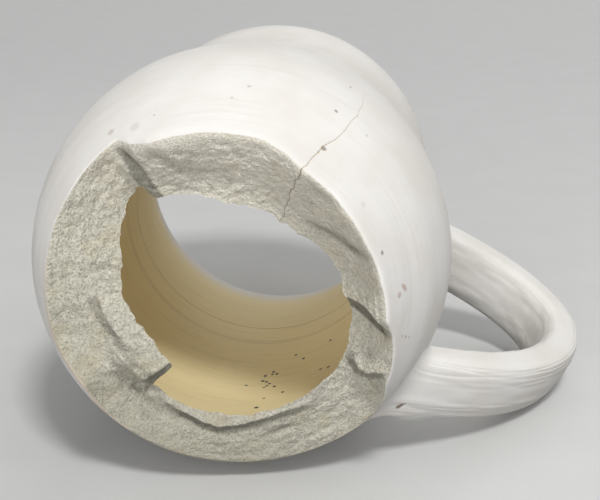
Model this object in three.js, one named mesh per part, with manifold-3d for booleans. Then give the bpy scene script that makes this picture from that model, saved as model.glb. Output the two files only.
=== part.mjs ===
// A hand-thrown clay mug whose bottom has broken away, lying on its side.
// It is one fired piece: a thick-walled pot with a strap handle, a hole torn through its base,
// a wide sloping break round that hole, and a crack that runs up the wall from the break.
// Units are millimetres. The pot is shaped upright, with its axis on Z and its widest girth at
// height 0, and is then laid down as it rests: on its belly, its lip and its handle, +Z up.

import * as THREE from 'three';
import { mergeVertices } from 'three/addons/utils/BufferGeometryUtils.js';
import Module from 'manifold-3d';

const wasm = await Module();
wasm.setup();

// Body, outside
const girthRadius = 46;
const bellyArcRadius = 50;
const taperStart = 26;
const neckRadius = 39;
const neckHeight = 55;
const lipRadius = 42;
const lipHeight = 78;
const lipCrown = 2.6;
const blankDepth = 50;

// Body, inside
const girthWall = 9.4;
const lipWall = 6;
const cavityDepth = 27;
const floorFullness = 3;

// Handle: a pulled strap, set a little askew and wider where it is smeared on
const handleAngle = 92.8;
const handleLean = -0.149;
const handleLeanPivot = 30;
const handleWidth = 16.2;
const handleThickness = 9.6;
const handleCorner = 2.6;
const handleFlare = 0.34;
const handleFlareLength = 7;
const lowerJointHeight = -10.8;
const upperJointHeight = 62.5;
const handleReach = 82.4;

// Break: the distances below the girth between which the torn surface turns from straight to
// hollow, how hollow it gets, how rough it is, and how far the cut runs past both its edges
const straightDrop = 29;
const hollowDrop = 33;
const breakHollow = 0.45;
const breakRoughness = 0.45;
const breakClearance = 1;

// Crack: its width where it opens into the break, and the side of the pot it runs up
const crackWidth = 0.36;
const crackAngle = 10;

// Faceting
const bodySides = 72;
const bodyRows = 18;
const lipRows = 4;
const breakSides = 110;
const breakRows = 9;
const handleSides = 14;
const handleRows = 28;

const fullTurn = 360;

const clayColour = 0xd9d5cb;
const clayRoughness = 0.9;

// The strap's middle line between its joints, from the lower one: [share of the reach beyond the
// wall, share of the height between the joints]. It is fullest near the top, like an ear.
const handleStations = [
  [0.24, 0.1],
  [0.54, 0.23],
  [0.78, 0.375],
  [0.94, 0.535],
  [1, 0.725],
  [0.86, 0.91],
  [0.57, 0.995],
  [0.24, 1.015],
];

// Outer edge of the break and the ledge of floor left inside it, round the pot.
// Each station is [angle round the axis in degrees, distance below the girth, ledge width].
// Angles are counted from the side that faces up and to the viewer; the handle is near 93.
const breakStations = [
  [-178, 24.6, 6.6],
  [-170, 25.2, 6.9],
  [-167, 25.8, 14.2],
  [-160, 26.5, 16.0],
  [-150, 29.3, 16.7],
  [-133, 27.2, 15.8],
  [-122, 28.9, 14.6],
  [-104, 29.5, 14.5],
  [-92, 29.2, 12.8],
  [-82, 29.6, 11.2],
  [-72, 29.0, 10.0],
  [-67, 28.9, 9.5],
  [-65, 28.85, 10.4],
  [-63.2, 28.8, 12.7],
  [-61, 28.8, 13.7],
  [-58.5, 29.0, 14.0],
  [-55, 32.0, 14.4],
  [-49, 33.9, 15.6],
  [-37, 34.7, 17.0],
  [-22, 34.9, 19.0],
  [-9, 35.1, 18.9],
  [5, 36.8, 18.7],
  [14, 37.7, 18.7],
  [27, 38.3, 17.9],
  [41, 38.3, 15.9],
  [55, 37.4, 13.7],
  [66, 36.4, 12.8],
  [72, 35.6, 11.9],
  [77, 33.2, 10.4],
  [90, 28.8, 9.4],
  [97, 26.7, 8.6],
  [103, 22.8, 8.0],
  [109, 18.4, 7.6],
  [120, 16.6, 7.3],
  [135, 17.0, 7.0],
  [150, 18.6, 6.7],
  [165, 21.0, 6.6],
  [175, 23.4, 6.6],
];

// Steps torn in the clay: along each path, the side on its left stands further out of the break,
// or is sunk where the rise is below 0. Each corner is [angle, distance from the axis, rise of the
// step, width of its slope], and the left side comes back to level over the step's reach.
const tornSteps = [
  {
    reach: 6,
    corners: [
      [-62, 21, 1.8, 3],
      [-61.5, 24.5, 1.8, 3],
      [-60, 28, 1.8, 3],
      [-57.6, 32.3, 1.4, 2.4],
      [-58.8, 36.5, 0.2, 0.8],
    ],
  },
  {
    reach: 3.5,
    corners: [
      [76.9, 34.6, 0.8, 1],
      [72.4, 31, 1.8, 1],
      [69.4, 28.6, 2.2, 1],
      [69.4, 26.7, 2.2, 1],
      [69, 23, 2.2, 1],
    ],
  },
  {
    reach: 2.5,
    corners: [
      [93, 38, 0.2, 1],
      [97, 35.6, 1.6, 1],
      [98.7, 32.4, 2, 1],
      [97.1, 29.9, 1.4, 1],
      [92, 28.2, 0.2, 1],
    ],
  },
  {
    reach: 4.5,
    corners: [
      [-171, 31, 0, 1],
      [-168.5, 28.4, 4.2, 1.2],
      [-163, 26.9, 4, 1.2],
      [-154, 26.9, 2.8, 1.2],
      [-141, 26.8, 2, 1.4],
      [-127, 27.6, 1.6, 1.8],
      [-120, 27.9, 1.2, 2],
      [-110, 30.5, 0, 2],
    ],
  },
  {
    reach: 9,
    corners: [
      [-168.5, 27, -3.6, 1.6],
      [-168.5, 31, -3.4, 1.6],
      [-168.5, 37, -1.8, 1.6],
      [-168.5, 43.5, -0.6, 1.6],
    ],
  },
  {
    reach: 2.6,
    corners: [
      [115, 30.8, 0, 1.4],
      [124, 31.7, 0.8, 1.2],
      [138, 31.9, 1.6, 1.2],
      [155, 32.3, 1.8, 1.2],
      [168, 31.2, 1.6, 1.2],
      [176, 30.4, 1.2, 1.2],
      [-176, 30, 0, 1.2],
    ],
  },
];

// The crack on the wall: [sideways offset, height], from its closed tip down through the break.
const crackLine = [
  [1.9, -5],
  [1.2, -9.5],
  [2.1, -13],
  [1.9, -17],
  [1.4, -22],
  [0.8, -26.4],
  [-0.8, -30],
  [-1.5, -33.7],
  [-1.9, -37.5],
  [-2.3, -blankDepth],
];

// Small helpers

const mix = THREE.MathUtils.lerp;
const radians = THREE.MathUtils.degToRad;

function ease(share) {
  return THREE.MathUtils.smoothstep(share, 0, 1);
}

// A closed geometry becomes an exact solid that can be joined and cut.
function solidOf(geometry) {
  const bare = geometry.clone();
  bare.deleteAttribute('normal');
  bare.deleteAttribute('uv');
  const merged = mergeVertices(bare, 1e-4);
  const corners = Array.from(merged.index.array);
  const used = [];
  for (let i = 0; i < corners.length; i += 3) {
    const [a, b, c] = corners.slice(i, i + 3);
    if (a !== b && b !== c && c !== a) {
      used.push(a, b, c);
    }
  }
  return new wasm.Manifold(new wasm.Mesh({
    numProp: 3,
    vertProperties: new Float32Array(merged.attributes.position.array),
    triVerts: new Uint32Array(used),
  }));
}

function geometryOf(solid) {
  const mesh = solid.getMesh();
  const geometry = new THREE.BufferGeometry();
  geometry.setAttribute('position', new THREE.BufferAttribute(mesh.vertProperties, 3));
  geometry.setIndex(new THREE.BufferAttribute(mesh.triVerts, 1));
  return geometry;
}

// LatheGeometry turns its outline round Y. This stands it up, so that it turns round Z.
function turned(outline, sides) {
  const points = outline.map(([radius, height]) => new THREE.Vector2(radius, height));
  return new THREE.LatheGeometry(points, sides).rotateX(Math.PI / 2);
}

// Profiles

// Outer radius of the pot at a height above the girth.
function outerRadius(height) {
  if (height < -taperStart) {
    const fall = Math.sqrt(bellyArcRadius ** 2 - taperStart ** 2);
    const slope = taperStart / fall;
    return girthRadius - bellyArcRadius + fall - slope * (-height - taperStart);
  }
  if (height < 0) {
    return girthRadius - bellyArcRadius + Math.sqrt(bellyArcRadius ** 2 - height ** 2);
  }
  if (height < neckHeight) {
    return mix(girthRadius, neckRadius, ease(height / neckHeight));
  }
  return mix(neckRadius, lipRadius, ((height - neckHeight) / (lipHeight - neckHeight)) ** 2);
}

function cavityRadius(height) {
  if (height < 0) {
    const depth = Math.min(-height / cavityDepth, 1);
    return (girthRadius - girthWall) * (1 - depth ** floorFullness) ** (1 / floorFullness);
  }
  return outerRadius(height) - mix(girthWall, lipWall, ease(height / lipHeight));
}

// The handle's ends are rooted half way into the wall.
function middleOfWall(height) {
  return mix(cavityRadius(height), outerRadius(height), 0.5);
}

// Height of the cavity's rounded floor at a radius.
function cavityFloor(radius) {
  const share = Math.min(radius / (girthRadius - girthWall), 1);
  return -cavityDepth * (1 - share ** floorFullness) ** (1 / floorFullness);
}

// Body

function outerBlank() {
  const outline = [[0, -blankDepth]];
  for (let row = 0; row <= bodyRows; row += 1) {
    const height = mix(-blankDepth, lipHeight, row / bodyRows);
    outline.push([outerRadius(height), height]);
  }
  for (let row = 1; row <= lipRows; row += 1) {
    const turn = (Math.PI * row) / lipRows;
    const middle = lipRadius - lipWall / 2;
    outline.push([middle + (lipWall / 2) * Math.cos(turn), lipHeight + lipCrown * Math.sin(turn)]);
  }
  outline.push([0, lipHeight]);
  return solidOf(turned(outline, bodySides));
}

function cavity() {
  const outline = [[0, -cavityDepth]];
  for (let row = 1; row < bodyRows; row += 1) {
    const turn = (Math.PI / 2) * (row / (bodyRows / 2));
    if (row < bodyRows / 2) {
      const radius = (girthRadius - girthWall) * Math.sin(turn);
      outline.push([radius, cavityFloor(radius)]);
    } else {
      const height = mix(0, lipHeight, (row - bodyRows / 2) / (bodyRows / 2));
      outline.push([cavityRadius(height), height]);
    }
  }
  outline.push([lipRadius - lipWall, lipHeight]);
  outline.push([lipRadius - lipWall, lipHeight + 2 * lipCrown]);
  outline.push([0, lipHeight + 2 * lipCrown]);
  return solidOf(turned(outline, bodySides));
}

// Handle

// The middle line of the strap, in the plane that the handle stands in: reach and height.
function handleCurve() {
  const lowerRoot = outerRadius(lowerJointHeight);
  const upperRoot = outerRadius(upperJointHeight);
  const points = [new THREE.Vector3(middleOfWall(lowerJointHeight), 0, lowerJointHeight)];
  for (const [out, up] of handleStations) {
    const root = mix(lowerRoot, upperRoot, Math.min(up, 1));
    points.push(new THREE.Vector3(mix(root, handleReach, out), 0, mix(lowerJointHeight, upperJointHeight, up)));
  }
  points.push(new THREE.Vector3(middleOfWall(upperJointHeight), 0, upperJointHeight));
  return new THREE.CatmullRomCurve3(points);
}

// A straight bar with rounded edges is bent along the curve and flared at both ends.
function handle() {
  const outline = [];
  for (let side = 0; side < handleSides; side += 1) {
    const turn = (2 * Math.PI * side) / handleSides;
    const x = Math.sign(Math.cos(turn)) * Math.abs(Math.cos(turn)) ** (2 / handleCorner);
    const y = Math.sign(Math.sin(turn)) * Math.abs(Math.sin(turn)) ** (2 / handleCorner);
    outline.push(new THREE.Vector2((x * handleWidth) / 2, (y * handleThickness) / 2));
  }
  const bar = new THREE.ExtrudeGeometry(new THREE.Shape(outline), {
    depth: 1,
    steps: handleRows,
    bevelEnabled: false,
  });
  const curve = handleCurve();
  const length = curve.getLength();
  const outward = new THREE.Vector3(Math.cos(radians(handleAngle)), Math.sin(radians(handleAngle)), 0);
  const along = new THREE.Vector3(-outward.y, outward.x, 0).multiplyScalar(handleLean);
  along.z = 1;
  const across = new THREE.Vector3().crossVectors(along, outward).normalize();
  const place = (point) => outward.clone().multiplyScalar(point.x)
    .addScaledVector(along, point.z - handleLeanPivot)
    .add(new THREE.Vector3(0, 0, handleLeanPivot));
  const position = bar.attributes.position;
  for (let i = 0; i < position.count; i += 1) {
    const share = position.getZ(i);
    const middle = place(curve.getPointAt(share));
    const tangent = curve.getTangentAt(share);
    const forward = outward.clone().multiplyScalar(tangent.x).addScaledVector(along, tangent.z).normalize();
    const normal = new THREE.Vector3().crossVectors(forward, across).normalize();
    const fromEnd = Math.max(Math.min(share, 1 - share) * length - lipWall / 2, 0);
    const swell = 1 + handleFlare * Math.exp(-((fromEnd / handleFlareLength) ** 2));
    middle.addScaledVector(across, position.getX(i) * swell);
    middle.addScaledVector(normal, position.getY(i));
    position.setXYZ(i, middle.x, middle.y, middle.z);
  }
  return solidOf(bar);
}

// Break

// Linear between two neighbouring stations, round the full circle.
function breakAt(angle) {
  const count = breakStations.length;
  for (let i = 0; i < count; i += 1) {
    const [from, drop, ledge] = breakStations[i];
    const [to, nextDrop, nextLedge] = breakStations[(i + 1) % count];
    const span = (to - from + fullTurn) % fullTurn;
    const passed = (angle - from + fullTurn) % fullTurn;
    if (passed <= span) {
      return { drop: mix(drop, nextDrop, passed / span), ledge: mix(ledge, nextLedge, passed / span) };
    }
  }
  return null;
}

// The columns stand on every station, with as many between as keep them near even.
function breakColumns() {
  const columns = [];
  breakStations.forEach(([from], i) => {
    const to = breakStations[(i + 1) % breakStations.length][0];
    const span = (to - from + fullTurn) % fullTurn;
    const parts = Math.max(1, Math.round((span * breakSides) / fullTurn));
    for (let part = 0; part < parts; part += 1) {
      columns.push(from + (span * part) / parts);
    }
  });
  return columns;
}

// Hollows and humps of the torn clay, the same each time.
function roughness(angle, share) {
  const waves = Math.sin(angle * 0.31 + share * 5.1) + Math.sin(angle * 0.73 - share * 8.3)
    + 0.6 * Math.sin(angle * 1.57 + share * 12.7);
  return (breakRoughness * waves) / 2;
}

// A point across the axis.
function crosswise(angle, radius) {
  return new THREE.Vector2(radius * Math.cos(radians(angle)), radius * Math.sin(radians(angle)));
}

// How far all the steps together raise the torn surface at a point across the axis.
function raised(point) {
  let total = 0;
  for (const { reach, corners } of tornSteps) {
    let gap = Infinity;
    let height = 0;
    let slope = 1;
    for (let i = 0; i + 1 < corners.length; i += 1) {
      const [angle, radius, rise, width] = corners[i];
      const [nextAngle, nextRadius, nextRise, nextWidth] = corners[i + 1];
      const start = crosswise(angle, radius);
      const way = crosswise(nextAngle, nextRadius).sub(start);
      const passed = THREE.MathUtils.clamp(point.clone().sub(start).dot(way) / way.lengthSq(), 0, 1);
      const off = point.clone().sub(start).addScaledVector(way, -passed);
      if (off.length() < Math.abs(gap)) {
        gap = way.cross(off) < 0 ? -off.length() : off.length();
        height = mix(rise, nextRise, passed);
        slope = mix(width, nextWidth, passed);
      }
    }
    const past = Math.max(gap - slope / 2, 0);
    total += height * THREE.MathUtils.clamp(gap / slope + 0.5, 0, 1) * Math.exp(-past / reach);
  }
  return total;
}

// Height of the torn surface: its share of the way across runs from the hole to the outer edge.
function tornHeight(angle, radius, share, holeHeight, drop) {
  const hollow = 1 + breakHollow * ease((drop - straightDrop) / (hollowDrop - straightDrop));
  const step = raised(crosswise(angle, radius)) * (1 - share ** 4);
  const rough = roughness(angle, share) * Math.sin(Math.PI * share);
  return mix(holeHeight, -drop, share ** hollow) + rough - step;
}

// Everything below and inside the torn surface, as one solid to take away. Its outline runs from
// the middle of its underside, out and up to the break's outer edge, and in across the break.
function brokenAway() {
  const columns = breakColumns();
  const outline = [[0, 0], [1, 1], [1, 2]];
  for (let row = 0; row <= breakRows; row += 1) {
    outline.push([1, 3 + row]);
  }
  outline.push([1, 4 + breakRows], [0, 5 + breakRows]);
  const geometry = turned(outline, columns.length);
  const position = geometry.attributes.position;
  for (let i = 0; i < position.count; i += 1) {
    const row = i % outline.length;
    const angle = columns[Math.floor(i / outline.length) % columns.length];
    const { drop, ledge } = breakAt(angle);
    const holeRadius = girthRadius - girthWall - ledge;
    const holeHeight = cavityFloor(holeRadius);
    const edgeRadius = outerRadius(-drop);
    const share = 1 - (row - 3) / breakRows;
    let radius = 0;
    let height = -2 * blankDepth;
    if (row === 1) {
      radius = edgeRadius + breakClearance;
    } else if (row === 2) {
      radius = edgeRadius + breakClearance;
      height = -drop - breakClearance;
    } else if (row > 2 && share >= 0) {
      radius = mix(holeRadius, edgeRadius, share);
      height = tornHeight(angle, radius, share, holeHeight, drop);
    } else if (row === outline.length - 2) {
      radius = holeRadius - breakClearance;
      height = holeHeight + breakClearance;
    } else if (row === outline.length - 1) {
      height = 0;
    }
    position.setXYZ(i, radius * Math.cos(radians(angle)), radius * Math.sin(radians(angle)), height);
  }
  return solidOf(geometry);
}

// A thin jagged sliver that passes through the wall, closed at the top.
function crack() {
  const left = crackLine.map(([x, y], i) => new THREE.Vector2(x - openness(i), y));
  const right = crackLine.slice(1).map(([x, y], i) => new THREE.Vector2(x + openness(i + 1), y)).reverse();
  const sliver = new THREE.ExtrudeGeometry(new THREE.Shape([...left, ...right]), {
    depth: girthRadius,
    bevelEnabled: false,
  });
  const standing = new THREE.Matrix4().makeBasis(
    new THREE.Vector3(0, 1, 0),
    new THREE.Vector3(0, 0, 1),
    new THREE.Vector3(1, 0, 0),
  );
  sliver.applyMatrix4(standing);
  sliver.translate(girthRadius / 4, 0, 0);
  sliver.rotateZ(radians(crackAngle));
  return solidOf(sliver);
}

// Half the crack's width at one of its points: nothing at the tip, full after half its length.
function openness(i) {
  return (crackWidth / 2) * Math.min((2 * i) / (crackLine.length - 1), 1);
}

// Resting place

// The lowest point of some corners along an upward direction.
function lowest(corners, up) {
  return corners.reduce((least, corner) => Math.min(least, corner.dot(up)), Infinity);
}

// The value between two bounds at which a falling or rising measure passes zero.
function crossing(measure, from, to) {
  const rising = measure(to) > measure(from);
  let low = from;
  let high = to;
  for (let i = 0; i < 40; i += 1) {
    const middle = (low + high) / 2;
    if (measure(middle) > 0 === rising) {
      high = middle;
    } else {
      low = middle;
    }
  }
  return (low + high) / 2;
}

// The pot is tipped until belly and lip are level, and rolled until the handle is too.
function upwards(geometry) {
  const corners = [];
  const position = geometry.attributes.position;
  for (let i = 0; i < position.count; i += 1) {
    corners.push(new THREE.Vector3().fromBufferAttribute(position, i));
  }
  const reach = (corner) => Math.hypot(corner.x, corner.y);
  const strap = corners.filter((corner) => reach(corner) > girthRadius + handleThickness);
  const pot = corners.filter((corner) => reach(corner) <= girthRadius);
  const belly = pot.filter((corner) => corner.z < neckHeight / 2);
  const lip = pot.filter((corner) => corner.z > neckHeight);
  const direction = (roll, tip) => new THREE.Vector3(
    -Math.cos(roll) * Math.cos(tip),
    -Math.sin(roll) * Math.cos(tip),
    -Math.sin(tip),
  );
  const level = (roll) => {
    const slack = (tip) => lowest(belly, direction(roll, tip)) - lowest(lip, direction(roll, tip));
    return direction(roll, crossing(slack, -0.3, 0.3));
  };
  const clear = (roll) => lowest(strap, level(roll)) - lowest(belly, level(roll));
  const handleSide = radians(handleAngle);
  return level(crossing(clear, handleSide + 0.35, handleSide + Math.PI / 2));
}

// Turns the pot so that `up` is +Z and its mouth points along +Y, centred over the origin.
function laidDown(geometry) {
  const up = upwards(geometry);
  const mouth = new THREE.Vector3(0, 0, 1).addScaledVector(up, -up.z).normalize();
  const aside = new THREE.Vector3().crossVectors(mouth, up);
  const turn = new THREE.Matrix4().makeBasis(aside, mouth, up).transpose();
  geometry.applyMatrix4(turn);
  geometry.computeBoundingBox();
  const middle = geometry.boundingBox.getCenter(new THREE.Vector3());
  geometry.translate(-middle.x, -middle.y, -geometry.boundingBox.min.z);
  return geometry;
}

const fired = outerBlank()
  .subtract(cavity())
  .subtract(brokenAway())
  .subtract(crack())
  .add(handle());

const mug = new THREE.Mesh(
  laidDown(geometryOf(fired)),
  new THREE.MeshStandardMaterial({ color: clayColour, roughness: clayRoughness, metalness: 0 }),
);
mug.name = 'mug';

const part = new THREE.Group();
part.add(mug);

export default part;
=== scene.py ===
"""Dresses the cracked mug: the thrown pot with its torn bottom and its crack, and the pulled handle.

Sizes are in millimetres until a mesh is made. The pot is shaped in its own axes, upright, with its
widest girth at height 0, and every point is then laid down as the frame's solid lies. Angles round
the pot are in degrees, counted from the side that faces up and to the viewer.
"""

import logging
import math
from dataclasses import dataclass, field
from enum import Enum

import bpy
import numpy as np
from mathutils import Matrix, Vector, noise


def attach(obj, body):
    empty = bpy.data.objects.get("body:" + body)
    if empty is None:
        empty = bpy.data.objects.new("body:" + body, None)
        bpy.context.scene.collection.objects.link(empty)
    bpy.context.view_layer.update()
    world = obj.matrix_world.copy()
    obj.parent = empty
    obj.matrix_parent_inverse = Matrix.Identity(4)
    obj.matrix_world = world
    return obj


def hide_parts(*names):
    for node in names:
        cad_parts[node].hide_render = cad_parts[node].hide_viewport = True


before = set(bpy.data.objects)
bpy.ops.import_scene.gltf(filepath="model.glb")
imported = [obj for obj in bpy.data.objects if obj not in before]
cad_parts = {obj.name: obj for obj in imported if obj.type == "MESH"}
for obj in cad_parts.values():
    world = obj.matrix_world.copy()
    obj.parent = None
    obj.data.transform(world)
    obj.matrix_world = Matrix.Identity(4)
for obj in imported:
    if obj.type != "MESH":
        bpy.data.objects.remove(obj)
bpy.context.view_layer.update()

MM = 0.001
NODE = "mug"
# How far one step of a seed moves through the endless noise.
HUMP_SHIFT = (7.31, 3.17, 5.73)
GRAIN_SHIFT = (5.11, 2.33, 8.97)
# Share of a spot's size that has its full strength.
SPOT_CORE = 0.55
# Sockets of a Mix node for colours: its share, the colours below and above, and its result.
MIX_SHARE, MIX_BELOW, MIX_ABOVE, MIX_RESULT = 0, 6, 7, 2
log = logging.getLogger("cracked_mug")

Point = tuple[float, float, float]
Pairs = tuple[tuple[float, float], ...]
Triples = tuple[tuple[float, float, float], ...]
Rows = tuple[tuple[float, ...], ...]


class Surface(Enum):
    """The three surfaces of the fired piece, in the order of its material slots."""

    SKIN = 0
    TORN = 1
    LINING = 2


# Shared arithmetic


def smooth(share: np.ndarray | float) -> np.ndarray:
    """Eases a share from 0 to 1, flat at both ends."""
    held = np.clip(share, 0.0, 1.0)
    return held * held * (3.0 - 2.0 * held)


def lerp(start: np.ndarray | float, end: np.ndarray | float, share: np.ndarray | float) -> np.ndarray:
    """Blends two values in a straight line."""
    return start + (end - start) * share


def upright(angle: np.ndarray, radius: np.ndarray, height: np.ndarray) -> np.ndarray:
    """Turns angle, radius and height round the pot into points.

    Args:
        angle: Angles round the axis, in degrees.
        radius: Distances from the axis.
        height: Heights above the girth.

    Returns:
        Points with their coordinates along the last axis.
    """
    turn = np.radians(angle)
    return np.stack([radius * np.cos(turn), radius * np.sin(turn), height + 0.0 * turn], axis=-1)


@dataclass(frozen=True)
class Relief:
    """Hollows and humps of one size. The seed says which of the endless patterns they read."""

    height: float
    width: float
    seed: float
    octaves: int = 3

    def humps(self, points: np.ndarray) -> np.ndarray:
        """Fractal hollows and humps, the same in every run.

        Args:
            points: Points with their coordinates along the last axis.

        Returns:
            Lifts between about -height and height, one for each point.
        """
        shift = Vector([self.seed * step for step in HUMP_SHIFT])
        flat = (points.reshape(-1, 3) / self.width).tolist()
        values = [noise.fractal(Vector(point) + shift, 1.0, 2.0, self.octaves) for point in flat]
        return self.height * np.array(values).reshape(points.shape[:-1])

    def grains(self, points: np.ndarray) -> np.ndarray:
        """Rounded grains packed side by side, the same in every run.

        Args:
            points: Points with their coordinates along the last axis.

        Returns:
            Lifts from about -height between grains to height on their tops, one for each point.
        """
        shift = Vector([self.seed * step for step in GRAIN_SHIFT])
        flat = (points.reshape(-1, 3) / self.width).tolist()
        values = [1.0 - 2.0 * noise.voronoi(Vector(point) + shift)[0][0] for point in flat]
        return self.height * np.array(values).reshape(points.shape[:-1])


def beside(points: np.ndarray, path: np.ndarray) -> tuple[np.ndarray, np.ndarray]:
    """Measures points in a plane against a path.

    Args:
        points: Plane points, coordinates along the last axis.
        path: The path's corner points, one a row.

    Returns:
        The distance from the path, positive on its left, and the share of its length passed.
    """
    steps = np.linalg.norm(np.diff(path, axis=0), axis=1)
    starts = np.concatenate([[0.0], np.cumsum(steps)])
    nearest = np.full(points.shape[:-1], np.inf)
    side = np.ones(points.shape[:-1])
    passed = np.zeros(points.shape[:-1])
    for corner, ahead, step, start in zip(path[:-1], path[1:], steps, starts[:-1]):
        way = (ahead - corner) / step
        along = np.clip((points - corner) @ way, 0.0, step)
        off = points - corner - along[..., None] * way
        gap = np.linalg.norm(off, axis=-1)
        closer = gap < nearest
        turn = way[0] * off[..., 1] - way[1] * off[..., 0]
        nearest = np.where(closer, gap, nearest)
        side = np.where(closer, np.where(turn >= 0.0, 1.0, -1.0), side)
        passed = np.where(closer, (start + along) / starts[-1], passed)
    return nearest * side, passed


def follow(corners: Rows, plane: np.ndarray) -> tuple[np.ndarray, ...]:
    """Measures points of the pot's cross plane against a path, and reads the path's values there.

    Args:
        corners: The path's corners: angle, radius, and then the values that change along it.
        plane: Plane points, coordinates along the last axis.

    Returns:
        The distance from the path, positive on its left, and each of its values.
    """
    table = np.array(corners)
    path = upright(table[:, 0], table[:, 1], 0.0 * table[:, 1])[:, :2]
    gap, passed = beside(plane, path)
    steps = np.linalg.norm(np.diff(path, axis=0), axis=1)
    share = np.concatenate([[0.0], np.cumsum(steps)]) / steps.sum()
    return (gap, *(np.interp(passed, share, column) for column in table.T[2:]))


def quads(rows: int, sides: int, gaps: int) -> list[tuple[int, int, int, int]]:
    """Joins the points of a grid whose rows are rings.

    Args:
        rows: How many rings there are.
        sides: How many points each ring has.
        gaps: How many gaps are filled: as many as rows where the last ring meets the first again.

    Returns:
        The faces as point numbers, gap by gap.
    """
    faces = []
    for row in range(gaps):
        ring = row * sides
        above = (row + 1) % rows * sides
        for side in range(sides):
            beyond = (side + 1) % sides
            faces.append((ring + side, above + side, above + beyond, ring + beyond))
    return faces


# The pot's shape


@dataclass(frozen=True)
class RestingPlace:
    """How the upright pot is turned and moved to lie as it came to rest."""

    aside: Point = (0.4087304, 0.9126552, 0.0)
    mouth: Point = (0.0473921, -0.0212244, 0.9986508)
    up: Point = (0.9114239, -0.4081790, -0.0519277)
    shift: Point = (-17.1454, -22.4826, 45.9888)

    def laid(self, points: np.ndarray) -> np.ndarray:
        """Lays upright points down in the frame, still in millimetres."""
        return points @ np.array([self.aside, self.mouth, self.up]).T + np.array(self.shift)


@dataclass(frozen=True)
class PotProfile:
    """Outline of the thrown pot: full belly, drawn-in neck and a lip that opens again."""

    girth_radius: float = 46.0
    belly_arc_radius: float = 50.0
    taper_start: float = 26.0
    neck_radius: float = 39.0
    neck_height: float = 55.0
    lip_radius: float = 42.0
    lip_height: float = 78.0
    lip_crown: float = 2.6
    girth_wall: float = 9.4
    lip_wall: float = 6.0
    cavity_depth: float = 27.0
    floor_fullness: float = 3.0
    outline_points: int = 160

    @property
    def cavity_girth(self) -> float:
        """Inner radius at the widest girth."""
        return self.girth_radius - self.girth_wall

    def outer(self, height: np.ndarray) -> np.ndarray:
        """Outer radius of belly, neck and lip.

        Args:
            height: Heights above the girth.

        Returns:
            The radius at each height.
        """
        height = np.asarray(height, dtype=float)
        arc = self.belly_arc_radius
        fall = math.sqrt(arc**2 - self.taper_start**2)
        below = np.clip(height, -self.taper_start, 0.0)
        belly = self.girth_radius - arc + np.sqrt(arc**2 - below**2)
        belly -= self.taper_start / fall * np.maximum(-self.taper_start - height, 0.0)
        neck = lerp(self.girth_radius, self.neck_radius, smooth(height / self.neck_height))
        rise = (height - self.neck_height) / (self.lip_height - self.neck_height)
        lip = lerp(self.neck_radius, self.lip_radius, rise**2)
        return np.where(height < 0.0, belly, np.where(height < self.neck_height, neck, lip))

    def inner(self, height: np.ndarray) -> np.ndarray:
        """Radius of the cavity at heights from the girth to the lip."""
        wall = lerp(self.girth_wall, self.lip_wall, smooth(np.asarray(height) / self.lip_height))
        return self.outer(height) - wall

    def floor(self, radius: np.ndarray) -> np.ndarray:
        """Shape of the cavity's rounded floor.

        Args:
            radius: Distances from the axis.

        Returns:
            The floor's height at each distance.
        """
        share = np.clip(np.asarray(radius) / self.cavity_girth, 0.0, 1.0)
        rest = 1.0 - share**self.floor_fullness
        return -self.cavity_depth * rest ** (1.0 / self.floor_fullness)

    def lining(self) -> np.ndarray:
        """Outline of the cavity.

        Returns:
            Close-set (radius, height) rows from the lip down to the axis.
        """
        heights = np.linspace(self.lip_height, 0.0, self.outline_points)
        turns = np.linspace(0.0, 0.5 * math.pi, self.outline_points)[1:]
        radii = self.cavity_girth * np.cos(turns)
        wall = np.stack([self.inner(heights), heights], axis=1)
        bottom = np.stack([radii, self.floor(radii)], axis=1)
        return np.concatenate([wall, bottom])


@dataclass(frozen=True)
class Cliff:
    """A step in the torn clay: what lies left of its path stands further out of the break.

    Each corner of the path is (angle, radius, rise of the step, width of its slope), and a rise
    below 0 sinks the left side. That side comes back to level over the step's reach. The shade
    strength is the share of painted shade that darkens its face, which lies from the face down to the foot.
    """

    corners: tuple[tuple[float, float, float, float], ...]
    reach: float
    # How dark the painted shade on the step's face is.
    shade_strength: float = 0.8
    foot: float = 0.3
    blur: float = 0.5

    def height(self, plane: np.ndarray) -> np.ndarray:
        """Shape of the step.

        Args:
            plane: Points of the pot's cross plane.

        Returns:
            How far the step lifts each point.
        """
        gap, rise, slope = follow(self.corners, plane)
        past = np.maximum(gap - 0.5 * slope, 0.0)
        return rise * np.clip(gap / slope + 0.5, 0.0, 1.0) * np.exp(-past / self.reach)

    def hollow(self, plane: np.ndarray) -> np.ndarray:
        """Painted shade on the step's face and in the angle at its foot.

        Args:
            plane: Points of the pot's cross plane.

        Returns:
            The share of painted shade at each point, from 0 to 1.
        """
        gap, rise, slope = follow(self.corners, plane)
        face = smooth((0.5 * slope + self.blur - np.abs(gap + self.foot)) / self.blur)
        return self.shade_strength * face * np.clip(np.abs(rise), 0.0, 1.0)


@dataclass(frozen=True)
class Furrow:
    """A groove torn along a path of (angle, radius, depth) corners, with painted shade in its bottom."""

    corners: Triples
    width: float
    # How dark the painted shade in the groove is, and how narrowly it keeps to the groove's middle.
    shade_strength: float = 0.55
    shade_pinch: float = 1.3

    def height(self, plane: np.ndarray) -> np.ndarray:
        """How far the groove lifts points of the pot's cross plane, which is never above 0."""
        gap, depth = follow(self.corners, plane)
        return -depth * np.exp(-((gap / self.width) ** 2))

    def hollow(self, plane: np.ndarray) -> np.ndarray:
        """Share of painted shade in the groove at points of the cross plane, from 0 to 1."""
        gap, depth = follow(self.corners, plane)
        return self.shade_strength * np.clip(depth, 0.0, 1.0) * np.exp(-((self.shade_pinch * gap / self.width) ** 2))


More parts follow.
